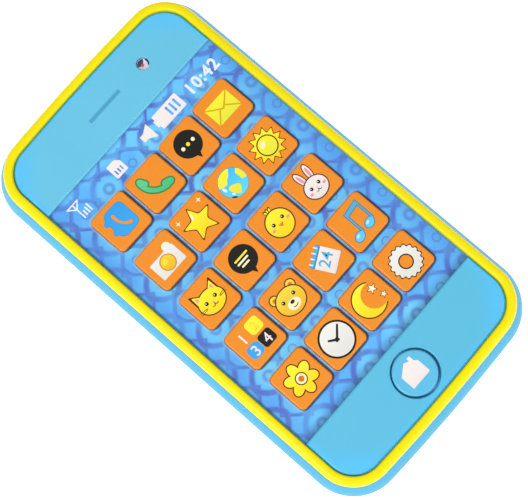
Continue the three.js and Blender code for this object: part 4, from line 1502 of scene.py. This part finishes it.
def make_home_button():
    """A round cap on its flange, with a house printed on it."""
    low, high, centre, flange = node_extent("home_button")
    height, cap = high.z - low.z, flange - 0.65
    profile = [(0, 0), (flange, 0), (flange, FLANGE_THICKNESS), (cap, FLANGE_THICKNESS)]
    profile += [(cap - inset, height - drop) for inset, drop in quarter_round(0.5, 7)]
    profile.append((0, height))
    button = new_object("home_cap", *lathe(profile, 96), place=(centre.x, centre.y, low.z))
    finish_piece(even_normals(button), "home_button", "home", "home_cyan", "home_button")
    picture = Picture("print_home", (centre.x, centre.y, high.z))
    draw_home(picture)
    picture.finish("home_button")


def make_keypad():
    """The rubber mat, and a hollow dome under each key."""
    low, high = node_box("rubber_keypad")
    mat_top, vent_radius = 10.7, 3.0
    spots = [(node_centre(node), f"{node}_press") for node in KEY_NODES + ["home_button"]]
    mat = new_object("keypad_mat", *block(low, (high.x, high.y, mat_top)))
    notch_x, notch_half, notch_end = 24, 3, -46
    notches = []
    for x in (-notch_x, notch_x):
        notches.append(block((x - notch_half, low.y - 1, 9), (x + notch_half, notch_end, 12)))
    vents = rods([centre for centre, _ in spots], low.z - 1, mat_top + 1, vent_radius)
    lower_screws = [node_centre(name) for name in nodes_named("pcb_screw_bottom")]
    combine(mat, "DIFFERENCE", merged(*notches, vents, rods(lower_screws, 9, 12, 2.3)))
    finish_piece(mat, "casing", "silicone", "silicone", "rubber_keypad")
    rise = high.z - mat_top
    profile = [(3.7, 0), (3.45, 0.28 * rise), (2.7, 0.72 * rise), (2.4, 0.95 * rise), (2.2, rise),
               (0, rise), (0, 0.55 * rise), (1.9, 0.55 * rise), (2.3, 0.4 * rise), (3.05, 0)]
    for centre, joint in spots:
        name = "dome_" + joint.removesuffix("_press").removeprefix("key_")
        place = (centre.x, centre.y, mat_top)
        dome = new_object(name, *lathe(profile, 32), place=place)
        finish_piece(dome, "casing", "silicone", "silicone")
        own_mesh(dome)


# ---------------------------------------------------------------- small parts


def make_lamp():
    """A clear round-ended lamp over a pale cup, a dark lead frame and its small die. The cup's pale
    colour is a painted highlight of the lens, and the lead frame's dark navy arcs, over the top and
    on the right, are a painted dark reflection in it.
    """
    low, high, centre, _ = node_extent("indicator_led")
    base, dome, foot_radius, foot_top, dome_steps = 10.4, 1.0, 1.9, 11.3, 10
    x, y = spot = (centre.x, centre.y)
    profile = [(0, base), (foot_radius, base), (foot_radius, foot_top), (LAMP_RADIUS, foot_top)]
    for i in range(dome_steps + 1):
        angle = math.pi / 2 * i / dome_steps
        radius = LAMP_RADIUS * math.cos(angle) if i < dome_steps else 0
        profile.append((radius, high.z - dome + dome * math.sin(angle)))
    lens = new_object("lamp_lens", *lathe(profile, 48, spot))
    finish_piece(lens, "casing", "lens", "led_lens", "indicator_led")

    seat = high.z - dome - 0.25
    cup_profile = [(0, -0.5), (1.5, -0.5), (1.5, 0), (1.3, 0), (0.85, -0.2), (0, -0.25)]
    die_profile = [(0, -0.3), (0.38, -0.3), (0.4, 0), (0.3, 0.14), (0, 0.16)]
    cup = new_object("lamp_cup", *lathe([(r, seat + z) for r, z in cup_profile], 40, spot))
    finish_piece(cup, "casing", "cup", "zinc_steel")
    # painted dark reflection: the lead frame is drawn as dark navy arcs over the top and on the
    # right of the cup
    lead_frame_painted_reflection = [
        arc(spot, 1.35, 42, 168, 16) + [(x - 0.3, y - 0.05)],
        arc(spot, 1.52, -52, 22, 10) + arc(spot, 1.2, 22, -52, 10),
    ]
    posts = merged(*[prism(shape, seat - 0.3, seat + 0.1) for shape in lead_frame_painted_reflection])
    finish_piece(new_object("lamp_posts", *posts), "casing", "lead", "zinc_steel")
    die = new_object("lamp_die", *lathe([(r, seat + z) for r, z in die_profile], 24, (x - 0.25, y)))
    finish_piece(die, "casing", "die", "led_lens")
    leads = []
    for lead_x in (x - 0.7, x + 0.7):
        leads.append(block((lead_x - 0.2, y - 0.2, low.z), (lead_x + 0.2, y + 0.2, base - 0.02)))
    finish_piece(new_object("lamp_leads", *merged(*leads)), "casing", "zinc", "zinc_steel")


def screw_shape(head_radius, head_height, shank_radius, length):
    """A pan head below z = 0 and a threaded shank above it."""
    pitch, root = 0.5, shank_radius - 0.12
    dome = [(head_radius - inset, -head_height + drop)
            for inset, drop in reversed(quarter_round(head_height * 0.45))]
    profile = [(0, -head_height)] + dome + [(head_radius, 0), (shank_radius, 0)]
    z = 0.4
    while z < length - 1:
        profile += [(root, z), (shank_radius, z + pitch * 0.35), (shank_radius, z + pitch * 0.5),
                    (root, z + pitch * 0.85)]
        z += pitch
    return lathe(profile + [(root, length - 0.8), (0, length)], 32)


def cross_recess(place, reach, bottom):
    """Two tapered cutters at a place, up into a screw's head from its bottom."""
    half_slot, depth, taper = 0.27, 0.75, 0.55
    cutters = []
    for x, y in ((reach, half_slot), (half_slot, reach)):
        outline = [(-x, -y), (x, -y), (x, y), (-x, y)]
        tip = [(px * taper, py * taper) for px, py in outline]
        vertices, faces = loft([(outline, bottom - 1), (outline, bottom), (tip, bottom + depth)])
        cutters.append(([Vector(vertex) + place for vertex in vertices], faces))
    return cutters


def make_screws():
    """Every screw, with its cross recess."""
    kinds = {
        "case_screw_": (2.0, 1.5, 1.0),
        "pcb_screw_": (1.6, 1.1, 0.8),
        "battery_cover_screw": (2.0, 1.3, 1.0),
    }
    for prefix, (head_radius, head_height, shank_radius) in kinds.items():
        for node in nodes_named(prefix):
            low, high, centre, _ = node_extent(node)
            place = Vector((centre.x, centre.y, low.z + head_height))
            length = high.z - low.z - head_height
            shape = screw_shape(head_radius, head_height, shank_radius, length)
            screw = new_object(node.replace("screw", "fixing"), *shape, place=place)
            for cutter in cross_recess(place, head_radius * 0.62, -head_height):
                combine(screw, "DIFFERENCE", cutter)
            body = "battery_cover" if node == "battery_cover_screw" else "casing"
            finish_piece(even_normals(screw), body, "screw", "screw_steel", node)


def make_battery_cover():
    """The cover with its two tabs, grip lines and the recess of its screw."""
    low, high = node_box("battery_cover")
    y0 = low.y + COVER_TAB_REACH
    screw = node_centre("battery_cover_screw")

    def outline(inset):
        return round_box(low.x + inset, high.x - inset, y0 + inset, high.y - inset, 0.6 - inset, 6)

    cover = new_object("cell_cover", *rounded_below(outline, low.z, COVER_INNER_FACE, 0.25))
    inside = COVER_INNER_FACE - 0.3
    tab_half, tab_bottom, tab_top = 2.2, 1.95, 2.75
    tabs, tips = [], []
    for side in (-1, 1):
        x0, x1 = side * COVER_TAB_X - tab_half, side * COVER_TAB_X + tab_half
        tabs.append(block((x0, y0 + 0.1, inside), (x1, y0 + 1, tab_top)))
        tips.append(block((x0, low.y, tab_bottom), (x1, y0 + 0.6, tab_top)))
    screw_seat = rod(screw.x, screw.y, inside, 3.2, 3, 48)
    combine(cover, "UNION", merged(*tabs), merged(*tips), screw_seat)
    grip_lines = []
    for i in (-1, 0, 1):
        groove = round_rectangle(6, 0.35, 0.34, 6, (0, y0 + 4 + i * 1.6))
        grip_lines.append(prism(groove, low.z - 1, low.z + 0.4))
    head_recess = hole_cutter(screw, 2.35, low.z, 2.0, 0.2, 48)
    screw_hole = rod(screw.x, screw.y, 1.5, 4, 1.3)
    combine(cover, "DIFFERENCE", head_recess, screw_hole, merged(*grip_lines))
    finish_piece(even_normals(cover), "battery_cover", "casing", "cyan_casing", "battery_cover")


def make_switch_slider():
    """The thumb piece, ribbed across its travel, on its stem."""
    low, high, centre, _ = node_extent("switch_slider")
    rib_pitch = 0.95

    def thumb(inset):
        return round_box(low.x + inset, high.x - inset, low.y + inset, high.y - inset, 0.5 - inset)

    slider = new_object("power_slider_thumb", *rounded_below(thumb, low.z, 2.2, 0.2))
    stem = block((centre.x - 1.2, centre.y - 0.8, 2), (centre.x + 1.2, centre.y + 0.8, high.z))
    combine(slider, "UNION", stem)
    grooves = []
    for i in range(-2, 3):
        groove = round_rectangle(0.22, 2, 0.1, 3, (centre.x + i * rib_pitch, centre.y))
        grooves.append(prism(groove, low.z - 1, low.z + 0.35))
    combine(slider, "DIFFERENCE", merged(*grooves))
    slider = even_normals(slider)
    finish_piece(slider, "power_slider", "black_plastic", "black_plastic", "switch_slider")


def disc_profile(radius, z0, z1, lower_fillet, upper_fillet):
    """A lathe profile from the middle of a disc's underside to its upper edge."""
    lower = [(radius - inset, z0 + drop) for inset, drop in reversed(quarter_round(lower_fillet))]
    upper = [(radius - inset, z1 - drop) for inset, drop in quarter_round(upper_fillet)]
    return [(0, z0)] + lower + upper


def make_speaker():
    """Frame, magnet and cone, turned finely."""
    low, high, centre, radius = node_extent("speaker_frame")
    spot = (centre.x, centre.y)
    frame_profile = [(12.9, low.z), (radius, low.z), (radius, low.z + 1), (13.4, low.z + 1.4),
                     (10.2, high.z), (6.2, high.z), (6.2, high.z - 0.5), (9.9, high.z - 0.5),
                     (12.9, low.z + 1.1)]
    basket = new_object("speaker_basket", *lathe(frame_profile, 96, spot))
    finish_piece(basket, "casing", "zinc", "zinc_steel", "speaker_frame")

    low, high, _, radius = node_extent("speaker_magnet")
    magnet_profile = disc_profile(radius, low.z, high.z, 0.4, 0.4) + [(0, high.z)]
    magnet = new_object("magnet_pot", *lathe(magnet_profile, 64, spot))
    finish_piece(magnet, "casing", "magnet", "ferrite", "speaker_magnet")

    low, _ = node_box("speaker_cone")
    thickness = 0.25
    wave = [(0.01, 0.6), (2.5, 0.8), (4, 1.4), (8, 0.8), (11, 0.2), (12, 0), (12.6, 0.2)]
    under = smooth_path(wave, 4)
    under[0] = (0, wave[0][1])
    profile = [(r, low.z + z) for r, z in under]
    profile += [(r, low.z + z + thickness) for r, z in reversed(under)]
    cone = new_object("cone_paper", *lathe(profile, 72, spot))
    finish_piece(cone, "speaker_cone", "paper", "speaker_paper", "speaker_cone")


def make_cells():
    """Three button cells, the middle one upside down."""
    for side in ("left", "middle", "right"):
        node = f"button_cell_{side}"
        low, high, centre, radius = node_extent(node)
        height = high.z - low.z
        can_top, groove_floor = height - 0.3, height - 0.42
        profile = disc_profile(radius, 0, can_top, 0.4, 0.35)
        profile += [(radius - 0.75, can_top), (radius - 0.8, groove_floor),
                    (radius - 0.95, groove_floor), (radius - 1.0, height - 0.12),
                    (radius - 1.15, height), (0, height)]
        cell = new_object(f"cell_{side}", *lathe(profile, 72), place=(centre.x, centre.y, low.z))
        if side == "middle":
            cell.location.z = high.z * MM
            cell.rotation_euler.x = math.pi
        finish_piece(cell, "casing", "can", "cell_steel", node)


def make_board_parts():
    """Small parts soldered to the back of the board."""
    face = node_box("main_pcb")[0].z
    chips = [(-16, 10, 1.6, 0.8), (-12, 4, 1.6, 0.8), (20, 12, 0.8, 1.6), (16, -8, 1.6, 0.8),
             (-18, -4, 0.8, 1.6), (9, -9, 0.8, 1.6)]
    for i, (x, y, half_x, half_y) in enumerate(chips):
        outline = round_rectangle(half_x, half_y, 0.12, 3, (x, y))
        inner = round_rectangle(half_x - 0.06, half_y - 0.06, 0.1, 3, (x, y))
        levels = [(inner, face - 0.62), (outline, face - 0.55), (outline, face - 0.02)]
        chip = new_object(f"chip_part_{i}", *loft(levels))
        finish_piece(chip, "casing", "epoxy", "epoxy")
    can_profile = [(0, -4.4), (1.8, -4.4), (2.0, -4.2), (2.0, -1.0), (1.85, -0.85), (2.0, -0.7),
                   (2.0, -0.05), (0, -0.05)]
    placed = [(radius, face + z) for radius, z in can_profile]
    can = new_object("capacitor_can", *lathe(placed, 40, (-14, -9)))
    finish_piece(can, "casing", "can", "zinc_steel")


def dress_cad_nodes():
    """Materials of the CAD nodes that are shown as they are."""
    looks = {
        "main_pcb": "board",
        "chip_blob": "epoxy",
        "switch_body": "zinc",
        "contact_negative": "zinc",
        "contact_positive": "zinc",
        "contact_bridge_upper": "zinc",
        "contact_bridge_cover": "zinc",
        "wire_battery_negative": "black_wire",
        "wire_battery_positive": "red_wire",
        "wire_speaker_positive": "red_wire",
        "wire_speaker_negative": "black_wire",
    }
    for node, look in looks.items():
        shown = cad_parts[node]
        if not shown.material_slots:
            shown.data.materials.append(None)
        for material_slot in shown.material_slots:
            material_slot.material = MATERIALS[look]


# ---------------------------------------------------------------- floor, light and camera


def make_stage():
    """A pale floor that glows like a light table, and is clear from below, so that the back can
    be looked at."""
    aside = FLOOR_HALF / 5  # so that the sheet's diagonal doesn't pass under the phone
    low, high = aside - FLOOR_HALF, aside + FLOOR_HALF
    corners = [(-FLOOR_HALF, low), (FLOOR_HALF, low), (FLOOR_HALF, high), (-FLOOR_HALF, high)]
    floor = new_object("floor", [(x, y, -FLOOR_DROP) for x, y in corners], [(0, 1, 2, 3)])
    graph = Graph("pale_floor")
    paper = graph.noise(30, 3)
    graph.set(
        Base_Color=graph.mix(paper, (0.86, 0.86, 0.87), (0.9, 0.9, 0.9)),
        Roughness=0.7,
        Emission_Color=(1, 1, 1, 1),
        Emission_Strength=0.65,
    )
    nodes, links = graph.tree.nodes, graph.tree.links
    clear = nodes.new("ShaderNodeBsdfTransparent")
    side = nodes.new("ShaderNodeNewGeometry")
    choice = nodes.new("ShaderNodeMixShader")
    links.new(side.outputs["Backfacing"], choice.inputs[0])
    links.new(graph.shader.outputs[0], choice.inputs[1])
    links.new(clear.outputs[0], choice.inputs[2])
    links.new(choice.outputs[0], nodes["Material Output"].inputs["Surface"])
    floor.data.materials.append(graph.material)


def add_softbox(name, place, size, energy):
    """A square soft light that faces the phone."""
    light = bpy.data.lights.new(name, "AREA")
    light.size = size
    light.energy = energy
    lamp = bpy.data.objects.new(name, light)
    lamp.location = place
    lamp.rotation_euler = (-Vector(place)).to_track_quat("-Z", "Y").to_euler()
    bpy.context.scene.collection.objects.link(lamp)


def make_lights():
    """An even white studio, with a key light from the phone's left and a fill from its foot."""
    scene = bpy.context.scene
    scene.view_settings.view_transform = "Standard"
    world = bpy.data.worlds.new("studio")
    world.use_nodes = True
    background = world.node_tree.nodes["Background"]
    background.inputs["Color"].default_value = (1.0, 1.0, 1.0, 1)
    background.inputs["Strength"].default_value = 0.54
    scene.world = world
    add_softbox("key_light", (-0.55, -0.04, 0.80), 0.28, 5.3)
    add_softbox("fill_light", (0.15, -0.75, 0.50), 0.6, 2.2)


def make_camera():
    """The camera looks down on the face from a hand's length away, turned so that the earpiece
    end points to the upper left."""
    camera = bpy.data.cameras.new("camera")
    camera.sensor_width = 36
    camera.lens = 88.76
    eye = bpy.data.objects.new("camera", camera)
    eye.location = Vector((-29.18, -45.86, 320.41)) * MM
    eye.rotation_euler = [math.radians(angle) for angle in (9.076, 2.488, -48.724)]
    bpy.context.scene.collection.objects.link(eye)
    bpy.context.scene.camera = eye


make_camera()
make_stage()
make_lights()
finish_piece(make_rear_shell(), "casing", "casing", "cyan_casing", "rear_shell")
finish_piece(make_ring(), "casing", "ring", "yellow_trim", "bezel_ring")
finish_piece(make_fascia(), "casing", "panel", "cyan_panel", "front_fascia")
finish_piece(make_earpiece(), "casing", "earpiece", "cyan_panel")
finish_piece(make_screen(), "casing", "screen", "screen_print", "screen_label")
status = Picture("print_status_bar", (0, 0, node_box("screen_label")[1].z))
draw_status_bar(status)
status.finish("casing")
make_keys()
make_home_button()
make_keypad()
make_lamp()
make_screws()
make_battery_cover()
make_switch_slider()
make_speaker()
make_cells()
make_board_parts()
dress_cad_nodes()
